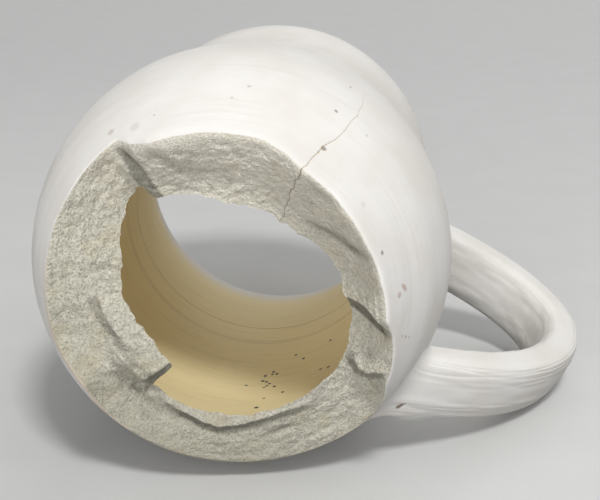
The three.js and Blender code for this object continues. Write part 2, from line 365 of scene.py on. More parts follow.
@dataclass(frozen=True)
class TornBottom:
    """The break: its outer edge, the ledge of floor left inside it and the steps torn between.

    Each station is (angle, distance below the girth, ledge width), and drawn_round holds the
    (angle, distance) over which the skin rolls into the break. One terrace ends in a cut, which
    runs slantwise: cut_lean holds how far it turns, as (radius, angle).
    """

    stations: Triples = (
        (-178.0, 24.6, 7.4), (-172.8, 25.1, 8.2), (-171.4, 25.2, 15.5), (-160.0, 26.5, 16.2),
        (-150.0, 29.3, 16.7), (-133.0, 27.2, 15.8), (-122.0, 28.9, 14.6), (-104.0, 29.5, 14.5),
        (-92.0, 29.2, 12.8), (-82.0, 29.6, 11.2), (-72.0, 29.0, 10.0), (-67.0, 28.9, 9.5),
        (-65.0, 28.85, 10.4), (-63.2, 28.8, 12.7), (-61.0, 28.8, 13.7), (-58.5, 29.0, 14.0),
        (-55.0, 32.0, 14.4), (-49.0, 33.9, 15.6), (-37.0, 34.7, 17.0), (-22.0, 34.9, 19.0),
        (-9.0, 35.1, 18.9), (5.0, 36.8, 18.7), (14.0, 37.7, 18.7), (27.0, 38.3, 17.9),
        (41.0, 38.3, 15.9), (55.0, 37.4, 13.7), (66.0, 36.4, 12.8), (72.0, 35.6, 11.9),
        (77.0, 33.2, 10.4), (90.0, 28.8, 9.4), (97.0, 26.7, 8.6), (103.0, 22.8, 8.0),
        (109.0, 18.4, 7.6), (120.0, 16.6, 7.3), (135.0, 17.0, 7.0), (150.0, 18.6, 6.7),
        (165.0, 21.0, 6.6), (175.0, 23.4, 6.6),
    )
    cliffs: tuple[Cliff, ...] = (
        Cliff(
            (
                (-63.0, 22.0, 1.8, 4.0), (-60.9, 27.0, 1.8, 3.6), (-59.4, 30.0, 1.7, 2.9),
                (-59.2, 32.1, 1.4, 2.0), (-59.6, 34.1, 0.9, 1.2), (-59.8, 37.6, 0.3, 0.5),
            ),
            6.0,
            0.6,
        ),
        Cliff(
            (
                (77.4, 34.1, 1.2, 1.6), (75.9, 31.6, 2.0, 2.4), (74.0, 29.8, 2.5, 2.8),
                (72.2, 28.1, 2.6, 2.8), (71.3, 26.0, 2.4, 2.2), (70.3, 22.5, 2.2, 1.6),
            ),
            3.5,
            0.8,
        ),
        Cliff(
            (
                (93.0, 38.0, 0.2, 1.2), (95.4, 35.8, 1.3, 1.6), (98.8, 34.2, 1.6, 1.6),
                (99.8, 32.2, 1.4, 1.6), (97.2, 29.7, 1.0, 1.4), (92.0, 28.6, 0.2, 1.0),
            ),
            2.5,
            0.6,
        ),
        Cliff(
            (
                (-170.0, 30.2, 0.0, 1.6), (-166.0, 29.4, 1.8, 2.2), (-160.4, 29.2, 2.0, 2.6),
                (-153.8, 28.8, 1.7, 2.6), (-148.0, 28.6, 1.0, 2.4), (-141.0, 28.2, 0.0, 2.0),
            ),
            4.0,
            0.12,
        ),
        Cliff(
            (
                (-152.0, 24.6, 0.0, 2.0), (-146.0, 25.5, 1.3, 2.2), (-138.6, 26.0, 2.0, 1.9),
                (-132.5, 26.7, 1.9, 1.9), (-125.0, 27.2, 1.5, 2.0), (-116.0, 28.5, 0.0, 2.0),
            ),
            4.5,
            0.4,
        ),
        Cliff(
            (
                (-168.3, 26.0, -3.0, 0.8), (-167.6, 28.6, -3.9, 0.8), (-168.5, 33.0, -3.0, 0.8),
                (-170.0, 37.0, -1.9, 0.8), (-172.1, 43.0, -0.1, 0.8),
            ),
            9.0,
            0.0,
        ),
        Cliff(
            (
                (-170.0, 17.5, 2.2, 1.1), (-169.9, 20.7, 2.2, 1.2), (-168.3, 23.5, 2.2, 1.4),
                (-166.5, 26.5, 1.8, 1.5), (-165.6, 28.5, 0.6, 1.5), (-165.0, 30.0, 0.0, 1.5),
            ),
            4.0,
            0.7,
        ),
        Cliff(
            (
                (115.0, 31.6, 0.0, 1.4), (124.0, 32.3, 0.6, 1.4), (138.0, 31.4, 1.2, 1.4),
                (150.0, 32.6, 1.5, 1.4), (160.0, 33.4, 1.5, 1.4), (168.0, 32.6, 1.3, 1.2),
                (176.0, 32.0, 1.0, 1.2), (184.0, 31.6, 0.0, 1.2),
            ),
            3.0,
            0.3,
        ),
    )
    furrows: tuple[Furrow, ...] = (
        Furrow(
            (
                (-152.0, 31.2, 0.0), (-156.4, 31.4, 0.5), (-160.8, 32.0, 0.8), (-168.0, 32.2, 0.8),
                (-172.6, 32.5, 0.9), (-182.6, 32.6, 1.1), (-188.2, 32.8, 1.3), (-192.5, 33.4, 1.4),
                (-199.3, 34.0, 1.3), (-204.0, 34.1, 1.2), (-210.0, 33.3, 0.9), (-220.0, 32.4, 0.5),
                (-229.0, 32.9, 0.6), (-236.0, 33.4, 0.0),
            ),
            1.1,
            0.5,
        ),
        Furrow(((148.0, 36.4, 0.0), (143.0, 35.9, 0.6), (138.9, 35.6, 0.7), (131.0, 36.0, 0.0)), 0.8),
        Furrow(
            (
                (-57.1, 25.4, 0.0), (-56.6, 27.4, 0.3), (-56.6, 30.0, 0.4), (-57.6, 32.1, 0.5),
                (-58.9, 34.1, 0.5), (-59.2, 36.0, 0.0),
            ),
            0.6,
            0.9,
        ),
        Furrow(
            (
                (17.7, 21.4, 0.0), (24.3, 22.0, 0.5), (29.6, 23.2, 0.8), (34.6, 24.6, 1.1), (40.0, 26.2, 1.3),
                (44.3, 27.6, 1.2), (46.8, 29.8, 0.7), (49.0, 32.0, 0.0),
            ),
            1.2,
            0.6,
        ),
        Furrow(
            (
                (9.0, 28.6, 0.0), (15.3, 29.6, 0.5), (20.4, 30.4, 0.6), (27.0, 31.8, 0.5),
                (35.0, 32.6, 0.0),
            ),
            1.1,
            0.45,
        ),
        Furrow(
            (
                (-52.2, 33.0, 0.0), (-50.1, 31.8, 0.7), (-47.7, 30.2, 0.8), (-45.6, 28.4, 0.7),
                (-43.0, 26.4, 0.5), (-38.0, 24.9, 0.4), (-30.0, 25.0, 0.4), (-22.0, 25.2, 0.0),
            ),
            1.2,
            0.45,
        ),
    )
    drawn_round: Pairs = (
        (-120.0, 0.5), (-62.0, 0.6), (-54.0, 3.0), (-38.0, 3.2), (-20.0, 2.0), (20.0, 1.4),
        (70.0, 1.6), (88.0, 1.2), (105.0, 0.5), (180.0, 0.5),
    )
    cut_angle: float = -172.1
    cut_lean: Pairs = ((20.4, 0.0), (27.5, 4.5), (31.0, 4.4), (35.0, 2.8), (43.0, 0.0))
    cut_reach: float = 14.0
    cut_ease: float = 12.0
    straight_drop: float = 29.0
    hollow_drop: float = 33.0
    hollow: float = 0.45

    def drop(self, angle: np.ndarray) -> np.ndarray:
        """Distance of the outer edge below the girth."""
        table = np.array(self.stations)
        return np.interp(angle, table[:, 0], table[:, 1], period=360.0)

    def ledge(self, angle: np.ndarray) -> np.ndarray:
        """Width of the floor left inside the wall."""
        table = np.array(self.stations)
        return np.interp(angle, table[:, 0], table[:, 2], period=360.0)

    def rounding(self, angle: np.ndarray) -> np.ndarray:
        """How far from the outer edge the skin rolls over into the break."""
        table = np.array(self.drawn_round)
        return np.interp(angle, table[:, 0], table[:, 1], period=360.0)

    def steepening(self, angle: np.ndarray) -> np.ndarray:
        """Power of the break's fall: above 1 it is hollow, and steepest by its outer edge."""
        share = (self.drop(angle) - self.straight_drop) / (self.hollow_drop - self.straight_drop)
        return 1.0 + self.hollow * smooth(share)

    def lean(self, angle: np.ndarray, radius: np.ndarray) -> np.ndarray:
        """Turns the mesh's columns along the terrace's slanting cut.

        Args:
            angle: Angles of the grid's points.
            radius: Their radii.

        Returns:
            The angle by which each point turns.
        """
        table = np.array(self.cut_lean)
        away = (angle - self.cut_angle + 180.0) % 360.0 - 180.0
        nearness = smooth((self.cut_reach - np.abs(away)) / self.cut_ease)
        return nearness * np.interp(radius, table[:, 0], table[:, 1])

    def relief(self, plane: np.ndarray) -> np.ndarray:
        """Lift of every step and furrow together at points of the cross plane."""
        return sum(mark.height(plane) for mark in (*self.cliffs, *self.furrows))

    def painted_shade(self, plane: np.ndarray) -> np.ndarray:
        """Where the steps and furrows are darkened with painted shade, from 0 to 1."""
        return np.clip(sum(mark.hollow(plane) for mark in (*self.cliffs, *self.furrows)), 0.0, 1.0)


@dataclass(frozen=True)
class Crack:
    """The crack that runs up the wall from the break, near a plane through the axis.

    Its line holds the (height, distance from that plane) corners, and its wander the (size, turns
    for each millimetre, start) of the small waves on them. A chip is out of its edge at an (angle,
    height).
    """

    angle: float = 10.0
    half_width: float = 0.12
    depth: float = 0.14
    line: Pairs = (
        (-50.0, -2.3), (-37.5, -1.9), (-33.7, -1.5), (-30.0, -0.8), (-26.4, 0.8), (-22.0, 1.4),
        (-17.0, 1.9), (-13.0, 2.1), (-9.5, 1.2), (-5.0, 1.9),
    )
    wander: Triples = ((0.16, 2.1, 0.0), (0.1, 4.7, 1.0))
    tip_length: float = 26.0
    tip_power: float = 0.7
    chip: tuple[float, float] = (9.1, -30.2)
    chip_depth: float = 0.3
    chip_size: float = 0.7

    def bearing(self, radius: np.ndarray, height: np.ndarray) -> np.ndarray:
        """Course of the crack.

        Args:
            radius: Distances from the axis.
            height: Heights above the girth.

        Returns:
            The angle round the pot at which the crack passes each radius and height.
        """
        table = np.array(self.line)
        offset = np.interp(height, table[:, 0], table[:, 1])
        for size, rate, start in self.wander:
            offset = offset + size * np.sin(height * rate + start)
        return self.angle + np.degrees(np.arcsin(offset / radius))

    def gape(self, height: np.ndarray) -> np.ndarray:
        """Share of the crack's full width and depth at a height: none at its tip."""
        tip = self.line[-1][0]
        return np.clip((tip - height) / self.tip_length, 0.0, 1.0) ** self.tip_power


# Meshes


@dataclass
class ClayMesh:
    """Points, faces and surfaces of a part of the fired piece, in upright millimetres."""

    points: np.ndarray
    faces: list[tuple[int, ...]]
    surfaces: list[int]
    grain: np.ndarray
    marks: np.ndarray

    def to_object(
        self, name: str, place: RestingPlace, materials: list[bpy.types.Material]
    ) -> bpy.types.Object:
        """Makes a laid-down object in metres.

        Args:
            name: The new object's name.
            place: How the piece lies.
            materials: One material for each Surface, in order.

        Returns:
            The linked object, with its attributes for the finishes.
        """
        mesh = bpy.data.meshes.new(name)
        mesh.from_pydata((place.laid(self.points) * MM).tolist(), [], self.faces)
        mesh.polygons.foreach_set("material_index", self.surfaces)
        for title, values in (("pot", self.points * MM), ("grain", self.grain), ("marks", self.marks)):
            layer = mesh.attributes.new(title, "FLOAT_VECTOR", "POINT")
            layer.data.foreach_set("vector", values.astype(np.float32).ravel())
        for material in materials:
            mesh.materials.append(material)
        mesh.update()
        obj = bpy.data.objects.new(name, mesh)
        bpy.context.scene.collection.objects.link(obj)
        return obj


@dataclass
class ThrownPot:
    """The body: one closed surface from the hole's edge over the break, wall and lip to the lining.

    A pair of reach and ease says how far an effect reaches and over what length it fades. Rows
    count the mesh's rings from the hole's edge outwards.
    """

    profile: PotProfile = field(default_factory=PotProfile)
    torn: TornBottom = field(default_factory=TornBottom)
    crack: Crack = field(default_factory=Crack)
    sides: int = 520
    band_rows: int = 60
    edge_rows: int = 6
    wall_rows: int = 46
    lip_rows: int = 10
    lining_rows: int = 30
    floor_rows: int = 18
    lip_slip_rows: int = 3
    row_crowding: float = 1.35
    grain_stretch: float = 0.04

    crack_shift: float = 2.0
    crack_radius: float = 42.0
    crack_columns: tuple[float, float] = (0.95, 0.55)
    crack_clearance: float = 1.35
    crack_pull: tuple[float, float] = (13.0, 11.0)
    crack_lips: float = 0.3
    crack_widening: float = 0.9
    crack_wide_inside: tuple[float, float] = (40.0, 8.0)
    crack_mark: tuple[float, float] = (0.3, 0.7)
    edge_mark_rows: float = 6.0

    swirl_radius: float = 16.0
    ring_radius: float = 30.0
    hole_jags: Relief = Relief(0.5, 3.2, 3.0, 4)
    edge_wander: Relief = Relief(0.22, 5.0, 1.0, 4)
    torn_lumps: Relief = Relief(0.6, 8.0, 4.0, 2)
    gravel: Relief = Relief(0.26, 2.2, 9.0)
    sand: Relief = Relief(0.26, 1.3, 6.0)
    crumbs: Relief = Relief(0.2, 1.5, 2.0, 3)
    lumps_reach: float = 5.0
    grain_rows: float = 5.0
    fade_rows: float = 5.0
    slip_cover: float = 0.45
    slip_rows: float = 3.0
    # Painted shade in the band's low grains: the level below which it starts, how fast it grows, and how dark
    # it gets.
    pore_level: float = -0.06
    pore_ease: float = 0.4
    pore_shade: float = 0.3

    wall_sag: Relief = Relief(0.16, 30.0, 12.0, 2)
    lining_sag: float = 0.1
    spiral_rise: float = 1.6
    wall_waves: Triples = ((0.06, 1.25, 0.0), (0.05, 0.61, 1.0))
    lining_ridges: Pairs = ((0.12, 0.62), (0.05, 1.17))
    ridge_swing: float = 0.6
    wall_ease_rows: float = 5.0
    lip_ease_rows: float = 6.0
    lip_margin_rows: float = 2.0

    @property
    def crack_column(self) -> float:
        """Angle of the column that becomes the bottom of the crack."""
        return self.crack.angle + self.crack_shift

    def columns(self) -> np.ndarray:
        """Places the mesh's columns.

        Returns:
            Their angles, which are even apart from a close-set group beside the crack.
        """
        middle = self.crack_column
        half = math.degrees(self.crack.half_width / self.crack_radius)
        wide, close = self.crack_columns
        group = middle + np.array([-wide, -close, -half, 0.0, half, close, wide])
        even = np.arange(self.sides) * 360.0 / self.sides - 180.0
        return np.sort(np.concatenate([even[np.abs(even - middle) > self.crack_clearance], group]))

    def follow_crack(self, angle: np.ndarray, radius: np.ndarray, height: np.ndarray) -> np.ndarray:
        """Moves the columns near the crack sideways, so that one of them runs along it.

        Args:
            angle: Angles of the grid's points.
            radius: Their radii.
            height: Their heights.

        Returns:
            The points' new angles.
        """
        middle = self.crack_column
        at = np.abs(angle[0] - middle).argmin()
        bearing = self.crack.bearing(radius[:, at], height[:, at])
        reach, ease = self.crack_pull
        pull = smooth((reach - np.abs(angle - middle)) / ease)
        limit, widening_ease = self.crack_wide_inside
        widening = self.crack_widening * smooth((limit - radius) / widening_ease)
        widening = np.where(np.abs(angle - middle) < self.crack_lips, widening, 0.0)
        return angle + pull * (bearing - middle)[:, None] + widening * (angle - middle)

    def band(self, angle: np.ndarray) -> tuple[np.ndarray, np.ndarray]:
        """Shapes the torn band and the rounding at its outer edge.

        Args:
            angle: The columns' angles.

        Returns:
            Radii and heights, a row of the mesh each, from the hole's edge to the skin.
        """
        ring = upright(angle, np.full_like(angle, self.ring_radius), np.zeros_like(angle))
        drop = self.torn.drop(angle) + self.edge_wander.humps(ring)
        hole = self.profile.cavity_girth - self.torn.ledge(angle) + self.hole_jags.humps(ring)
        edge = self.profile.outer(-drop)
        roll = self.torn.rounding(angle)
        start = 1.0 - roll / np.maximum(edge - hole, 1.0)
        share = np.linspace(0.0, 1.0, self.band_rows)[:, None] * start
        power = self.torn.steepening(angle)
        radius = lerp(hole, edge, share)
        height = lerp(self.profile.floor(hole), -drop, share**power)
        top = roll - drop
        turn = np.linspace(0.0, 1.0, self.edge_rows + 2)[1:, None]
        before, beside_edge, after = (1 - turn) ** 2, 2 * turn * (1 - turn), turn**2
        radius_roll = before * radius[-1] + beside_edge * edge + after * self.profile.outer(top)
        height_roll = before * height[-1] - beside_edge * drop + after * top
        return np.concatenate([radius, radius_roll]), np.concatenate([height, height_roll])

    def wall(self, start: np.ndarray) -> tuple[np.ndarray, np.ndarray]:
        """Shapes the outer wall and the lip.

        Args:
            start: Heights at which the columns leave the break's rounded edge.

        Returns:
            Radii and heights, a row of the mesh each, from the break to the inside of the lip.
        """
        share = np.linspace(0.0, 1.0, self.wall_rows + 1)[1:, None]
        height = lerp(start, self.profile.lip_height, share**self.row_crowding)
        turn = np.linspace(0.0, math.pi, self.lip_rows + 2)[1:-1, None]
        half = 0.5 * self.profile.lip_wall
        all_round = np.ones_like(start)
        lip_radius = (self.profile.lip_radius - half + half * np.cos(turn)) * all_round
        lip_height = (self.profile.lip_height + self.profile.lip_crown * np.sin(turn)) * all_round
        radius = np.concatenate([self.profile.outer(height), lip_radius])
        return radius, np.concatenate([height, lip_height])

    def inside(self, hole: np.ndarray) -> tuple[np.ndarray, np.ndarray]:
        """Shapes the lining.

        Args:
            hole: Radii of the hole's edge.

        Returns:
            Radii and heights, a row of the mesh each, from the lip down to the hole's edge.
        """
        outline = self.profile.lining()
        steps = np.linalg.norm(np.diff(outline, axis=0), axis=1)
        length = np.concatenate([[0.0], np.cumsum(steps)])
        bottom = slice(self.profile.outline_points, None)
        end = np.interp(-hole, -outline[bottom, 0], length[bottom])
        share = np.linspace(0.0, 1.0, self.lining_rows + 1)[:-1, None]
        at = (1.0 - (1.0 - share) ** self.row_crowding) * end
        return np.interp(at, length, outline[:, 0]), np.interp(at, length, outline[:, 1])

    def build(self) -> ClayMesh:
        """Shapes the whole body.

        Returns:
            The body as one closed grid that turns round the pot and round its wall.
        """
        angle = self.columns()
        band = self.band(angle)
        radius, height = (
            np.concatenate(parts) for parts in zip(band, self.wall(band[1][-1]), self.inside(band[0][0]))
        )
        bearing = self.follow_crack(np.broadcast_to(angle, radius.shape), radius, height)
        bearing = bearing + self.torn.lean(bearing, radius)
        edge_end = self.band_rows + self.edge_rows + 1
        lip_end = edge_end + self.wall_rows + self.lip_rows
        points, hollow = self.tear(upright(bearing, radius, height), bearing, radius, edge_end)
        points = self.throw(points, edge_end, lip_end)
        points = self.open_crack(points, angle)
        marks = self.mark(angle, height, 0.5 * (self.band_rows + edge_end), hollow)
        rows, sides = radius.shape
        surface = np.full(rows, Surface.SKIN.value)
        surface[: self.band_rows + self.edge_rows // 2] = Surface.TORN.value
        surface[lip_end - self.lip_slip_rows :] = Surface.LINING.value
        surface[-1] = Surface.TORN.value
        flat = points.reshape(-1, 3)
        grain = flat * np.array([self.grain_stretch, self.grain_stretch, 1.0])
        return ClayMesh(flat, quads(rows, sides, rows), np.repeat(surface, sides).tolist(), grain, marks)

    def mark(self, angle: np.ndarray, height: np.ndarray, edge_row: float, hollow: np.ndarray) -> np.ndarray:
        """Tells the finishes where the break's edge and the crack are, and how much painted shade each point
        gets.

        Args:
            angle: The columns' angles.
            height: The grid's heights.
            edge_row: The row in the middle of the break's rounded edge.
            hollow: Share of painted shade at each point of the grid, from 0 to 1.

        Returns:
            For each point, nearness to the edge, nearness to the crack and share of painted shade.
        """
        off_edge = np.abs(np.arange(len(height), dtype=float) - edge_row)
        edge = smooth(1.0 - off_edge / self.edge_mark_rows)
        on_crack = np.arange(len(angle)) == np.abs(angle - self.crack_column).argmin()
        gape = self.crack.gape(height)
        faint, more = self.crack_mark
        crack = np.where(gape > 0.0, faint + more * gape, 0.0) * on_crack
        return np.stack(np.broadcast_arrays(edge[:, None], crack, hollow), axis=-1).reshape(-1, 3)

    def tear(
        self, points: np.ndarray, angle: np.ndarray, radius: np.ndarray, edge_end: int
    ) -> tuple[np.ndarray, np.ndarray]:
        """Gives the band its steps, furrows and torn grain, and lets the thin floor edge follow.

        Args:
            points: The grid's points.
            angle: Their angles.
            radius: Their radii.
            edge_end: First row past the band's rounded outer edge.

        Returns:
            The points with the band and the floor beside the hole moved, and the share of painted shade in
            steps, furrows and pores.
        """
        moved = points.copy()
        hollow = np.zeros(radius.shape)
        swirl = upright(angle, np.full_like(radius, self.swirl_radius), radius)
        bottom = slice(len(points) - self.floor_rows, None)
        rise = self.torn_lumps.humps(swirl[bottom])
        moved[bottom, :, 2] -= rise * smooth(1.0 - (radius[bottom] - radius[0]) / self.lumps_reach)
        band = slice(0, edge_end)
        swirl, radius = swirl[band], radius[band]
        rise = self.torn_lumps.humps(swirl)
        plane = upright(angle[band], radius, np.zeros_like(radius))[..., :2]
        row = np.arange(edge_end, dtype=float)[:, None]
        fine = self.gravel.grains(swirl) + self.sand.grains(points[band])
        fine = (fine + self.crumbs.humps(swirl)) * smooth(row / self.grain_rows)
        fade = smooth((edge_end - 1.0 - row) / (self.edge_rows + self.fade_rows))
        lift = (rise + self.torn.relief(plane) + fine) * fade
        by_hole = rise * smooth(1.0 - (radius - radius[0]) / self.lumps_reach)
        lining = self.profile.floor(radius) - by_hole - self.slip_cover * smooth(row / self.slip_rows)
        moved[band, :, 2] = np.minimum(moved[band, :, 2] - lift, lining)
        # Painted shade in the low grains and in the steps and furrows.
        pores = self.pore_shade * smooth((self.pore_level - fine) / self.pore_ease)
        hollow[band] = np.clip(self.torn.painted_shade(plane) + pores, 0.0, 1.0) * fade
        return moved, hollow

    def throw(self, points: np.ndarray, edge_end: int, lip_end: int) -> np.ndarray:
        """Gives wall and lining the slight waves that fingers left on the wheel.

        Args:
            points: The grid's points.
            edge_end: First row past the break's rounded edge.
            lip_end: First row past the lip.

        Returns:
            The moved points.
        """
        turn = np.arctan2(points[..., 1], points[..., 0])
        row = np.arange(len(points), dtype=float)[:, None]
        on_wall = smooth((row - edge_end) / self.wall_ease_rows)
        on_wall = on_wall * smooth((lip_end + self.lip_margin_rows - row) / self.lip_ease_rows)
        on_lining = smooth((row - lip_end) / self.lip_ease_rows)
        on_lining = on_lining * smooth((len(points) - row) / self.lip_ease_rows)
        spiral = points[..., 2] + self.spiral_rise * turn
        wave = sum(size * np.sin(spiral * rate + start) for size, rate, start in self.wall_waves)
        sag = self.wall_sag.humps(points)
        (deep, slow), (slight, quick) = self.lining_ridges
        swing = self.ridge_swing * np.sin(turn)
        ridges = deep * np.sin(spiral * slow + swing) + slight * np.sin(spiral * quick)
        out = (wave + sag) * on_wall - (ridges + self.lining_sag * sag) * on_lining
        return points + out[..., None] * np.stack([np.cos(turn), np.sin(turn), np.zeros_like(turn)], axis=-1)

    def open_crack(self, points: np.ndarray, angle: np.ndarray) -> np.ndarray:
        """Sinks the middle column into the wall and chips its edge.

        Args:
            points: The grid's points.
            angle: The columns' angles.

        Returns:
            The moved points.
        """
        across = np.roll(points, -1, axis=1) - np.roll(points, 1, axis=1)
        along = np.roll(points, -1, axis=0) - np.roll(points, 1, axis=0)
        normal = np.cross(across, along)
        normal /= np.linalg.norm(normal, axis=-1, keepdims=True)
        middle = int(np.abs(angle - self.crack_column).argmin())
        gape = self.crack.gape(points[:, middle, 2])
        moved = points.copy()
        moved[:, middle] -= normal[:, middle] * (self.crack.depth * gape)[:, None]
        bearing, level = self.crack.chip
        chip = upright(np.array(bearing), self.profile.outer(np.array(level)), np.array(level))
        gap = np.linalg.norm(moved - chip, axis=-1)
        dent = self.crack.chip_depth * smooth(1.0 - gap / self.crack.chip_size)
        return moved - normal * dent[..., None]


@dataclass
class PulledHandle:
    """The strap, pulled from a lump of clay, bent to an ear and smeared on at both ends.

    The bend holds control points of its middle line in the handle's plane: the distance from the
    axis and the height. A corner above 2 makes the strap's section squarer.
    """

    profile: PotProfile = field(default_factory=PotProfile)
    torn: TornBottom = field(default_factory=TornBottom)
    angle: float = 92.8
    lean: float = -0.149
    lean_pivot: float = 30.0
    width: float = 16.2
    lower_thickness: float = 8.8
    upper_thickness: float = 9.9
    corner: float = 4.0
    lower_corner: float = 2.9
    flare: float = 0.2
    flare_length: float = 7.0
    flare_start: float = 4.0
    fillet: float = 4.5
    loop_fillet: float = 0.7
    bend: Pairs = ((40.95, -10.8), (63.67, 2.34), (88.61, 20.3), (105.36, 71.49), (35.26, 62.7))
    bend_points: int = 600
    line_points: int = 1200
    rows: int = 100
    fillet_rows: int = 8
    sides: int = 144

    grooves: Relief = Relief(1.0, 1.3, 21.0, 2)
    groove_depth: float = 0.15
    groove_width: float = 0.35
    fine_pulls: Relief = Relief(0.1, 2.6, 27.0, 2)
    broad_pulls: Relief = Relief(0.16, 7.0, 23.0, 2)
    loop_crumbs: Relief = Relief(0.16, 2.4, 29.0)
    loop_squeeze: float = 9.0
    outer_face: float = -0.3
    loop_face: float = 0.5
    face_ease: float = 0.3
    pull_stretch: float = 0.045
    grain_stretch: float = 0.04
    grain_apart: float = 90.0

    edge_clearance: float = 0.8
    ground_sink: float = 0.16
    buried: float = 2.0
    core_buried: float = 2.5

    def axes(self) -> tuple[np.ndarray, np.ndarray, np.ndarray]:
        """Directions of the handle's plane.

        Returns:
            The directions away from the pot, up along the handle, and across the strap.
        """
        turn = math.radians(self.angle)
        outward = np.array([math.cos(turn), math.sin(turn), 0.0])
        along = np.array([-outward[1] * self.lean, outward[0] * self.lean, 1.0])
        across = np.cross(along, outward)
        return outward, along, across / np.linalg.norm(across)

    def middle(self) -> tuple[np.ndarray, np.ndarray]:
        """Middle line of the strap, with its points evenly spaced.

        Returns:
            Points from the lower root to the upper one, and their distances along the line.
        """
        share = np.linspace(0.0, 1.0, self.bend_points)[:, None]
        control = np.array(self.bend)
        order = len(control) - 1
        flat = sum(
            math.comb(order, k) * share**k * (1.0 - share) ** (order - k) * control[k]
            for k in range(order + 1)
        )
        outward, along, _ = self.axes()
        line = flat[:, :1] * outward + (flat[:, 1:] - self.lean_pivot) * along
        line = line + np.array([0.0, 0.0, self.lean_pivot])
        steps = np.linalg.norm(np.diff(line, axis=0), axis=1)
        length = np.concatenate([[0.0], np.cumsum(steps)])
        even = np.linspace(0.0, length[-1], self.line_points)
        return np.stack([np.interp(even, length, line[:, k]) for k in range(3)], axis=1), even

    def surface(self, line: np.ndarray, length: np.ndarray) -> np.ndarray:
        """Skin of the strap before its ends are smeared.

        Args:
            line: Points of the middle line.
            length: Their distances along it.

        Returns:
            The skin's points, a row for each point of the middle line.
        """
        _, _, across = self.axes()
        forward = np.gradient(line, axis=0)
        forward /= np.linalg.norm(forward, axis=1, keepdims=True)
        normal = np.cross(forward, across)
        turn = np.arange(self.sides) * 2.0 * math.pi / self.sides
        corner = lerp(self.corner, self.lower_corner, smooth(np.cos(turn) + 0.5))
        x = np.sign(np.cos(turn)) * np.abs(np.cos(turn)) ** (2.0 / corner)
        y = np.sign(np.sin(turn)) * np.abs(np.sin(turn)) ** (2.0 / corner)
        thickness = lerp(self.lower_thickness, self.upper_thickness, length / length[-1])
        from_end = np.minimum(length, length[-1] - length)
        past_flare = np.maximum(from_end - self.flare_start, 0.0)
        flare = self.flare * np.exp(-((past_flare / self.flare_length) ** 2))
        wide = 0.5 * self.width * (1.0 + flare[:, None] * smooth(x + 0.5)) * x
        thick = (0.5 * thickness)[:, None] * y
        run = np.broadcast_to((length * self.pull_stretch)[:, None], wide.shape)
        stretched = np.stack([wide, thick, run], axis=-1)
        grooves = smooth(1.0 - np.abs(self.grooves.humps(stretched)) / self.groove_width)
        grooves = grooves * smooth((self.outer_face - y) / self.face_ease)
        pulled = self.fine_pulls.humps(stretched) + self.broad_pulls.humps(stretched)
        pulled -= self.groove_depth * grooves
        crumbs = self.loop_crumbs.grains(stretched * np.array([1.0, 1.0, self.loop_squeeze]))
        pulled += crumbs * smooth((y - self.loop_face) / self.face_ease)
        wide = wide + pulled * x
        thick = thick + pulled * y
        return line[:, None] + wide[..., None] * across + thick[..., None] * normal[:, None]

    def root(self, skin: np.ndarray, length: np.ndarray) -> tuple[np.ndarray, np.ndarray]:
        """Smears one end on to the wall.

        Args:
            skin: The strap's rows, the end first.
            length: Their distances from the end.

        Returns:
            Rows from inside the wall to the strap, and for each side the distance at which they end.
        """
        clear = np.hypot(skin[..., 0], skin[..., 1]) - self.profile.outer(skin[..., 2])
        first = np.array([np.argmax(clear[:, side] > 0.0) for side in range(self.sides)])
        sides = np.arange(self.sides)
        foot = skin[first, sides]
        centre = foot.mean(axis=0)
        towards = skin[-1].mean(axis=0) - centre
        facing = (foot - centre) @ (towards / np.linalg.norm(towards))
        inside = smooth(0.5 + facing / self.upper_thickness)[:, None]
        reach = lerp(self.fillet, self.loop_fillet, inside)
        past = length[first] + reach[:, 0]
        lift = skin[np.searchsorted(length, past), sides]
        bearing = np.degrees(np.arctan2(foot[:, 1], foot[:, 0]))
        outward = upright(bearing, np.ones(self.sides), np.zeros(self.sides))
        away = foot - centre
        away -= (away * outward).sum(axis=1, keepdims=True) * outward
        away /= np.linalg.norm(away, axis=1, keepdims=True)
        ground = foot + away * reach
        angle = np.degrees(np.arctan2(ground[:, 1], ground[:, 0]))
        level = np.maximum(ground[:, 2], self.edge_clearance - self.torn.drop(angle))
        ground = upright(angle, self.profile.outer(level) - self.ground_sink, level)
        turn = np.linspace(0.0, 1.0, self.fillet_rows)[:, None, None]
        smear = (1 - turn) ** 2 * ground + 2 * turn * (1 - turn) * foot + turn**2 * lift
        buried = upright(angle, self.profile.outer(level) - self.buried, level)
        deep = lerp(buried, centre - outward.mean(axis=0) * self.core_buried, 0.5)
        return np.concatenate([deep[None], buried[None], smear]), past

    def build(self) -> ClayMesh:
        """Shapes the strap.

        Returns:
            The strap with both smeared ends, closed inside the wall.
        """
        line, length = self.middle()
        skin = self.surface(line, length)
        lower, lower_past = self.root(skin, length)
        upper, upper_past = self.root(skin[::-1], length)
        share = np.linspace(0.0, 1.0, self.rows + 2)[1:-1, None]
        at = lerp(lower_past, length[-1] - upper_past, share)
        strap = np.empty((self.rows, self.sides, 3))
        for side, axis in np.ndindex(self.sides, 3):
            strap[:, side, axis] = np.interp(at[:, side], length, skin[:, side, axis])
        points = np.concatenate([lower, strap, upper[::-1]])
        rows = len(points)
        run = np.linspace(0.0, length[-1], rows)[:, None] * self.grain_stretch
        around = np.arange(self.sides) * (2.0 * self.width / self.sides)
        grain = np.stack(np.broadcast_arrays(around, self.grain_apart, run), axis=-1)
        faces = [(face[0], *face[:0:-1]) for face in quads(rows, self.sides, rows - 1)]
        faces.append(tuple(reversed(range(self.sides))))
        faces.append(tuple((rows - 1) * self.sides + side for side in range(self.sides)))
        flat = points.reshape(-1, 3)
        surfaces = [Surface.SKIN.value] * len(faces)
        return ClayMesh(flat, faces, surfaces, grain.reshape(-1, 3), np.zeros((len(flat), 3)))


# Finishes


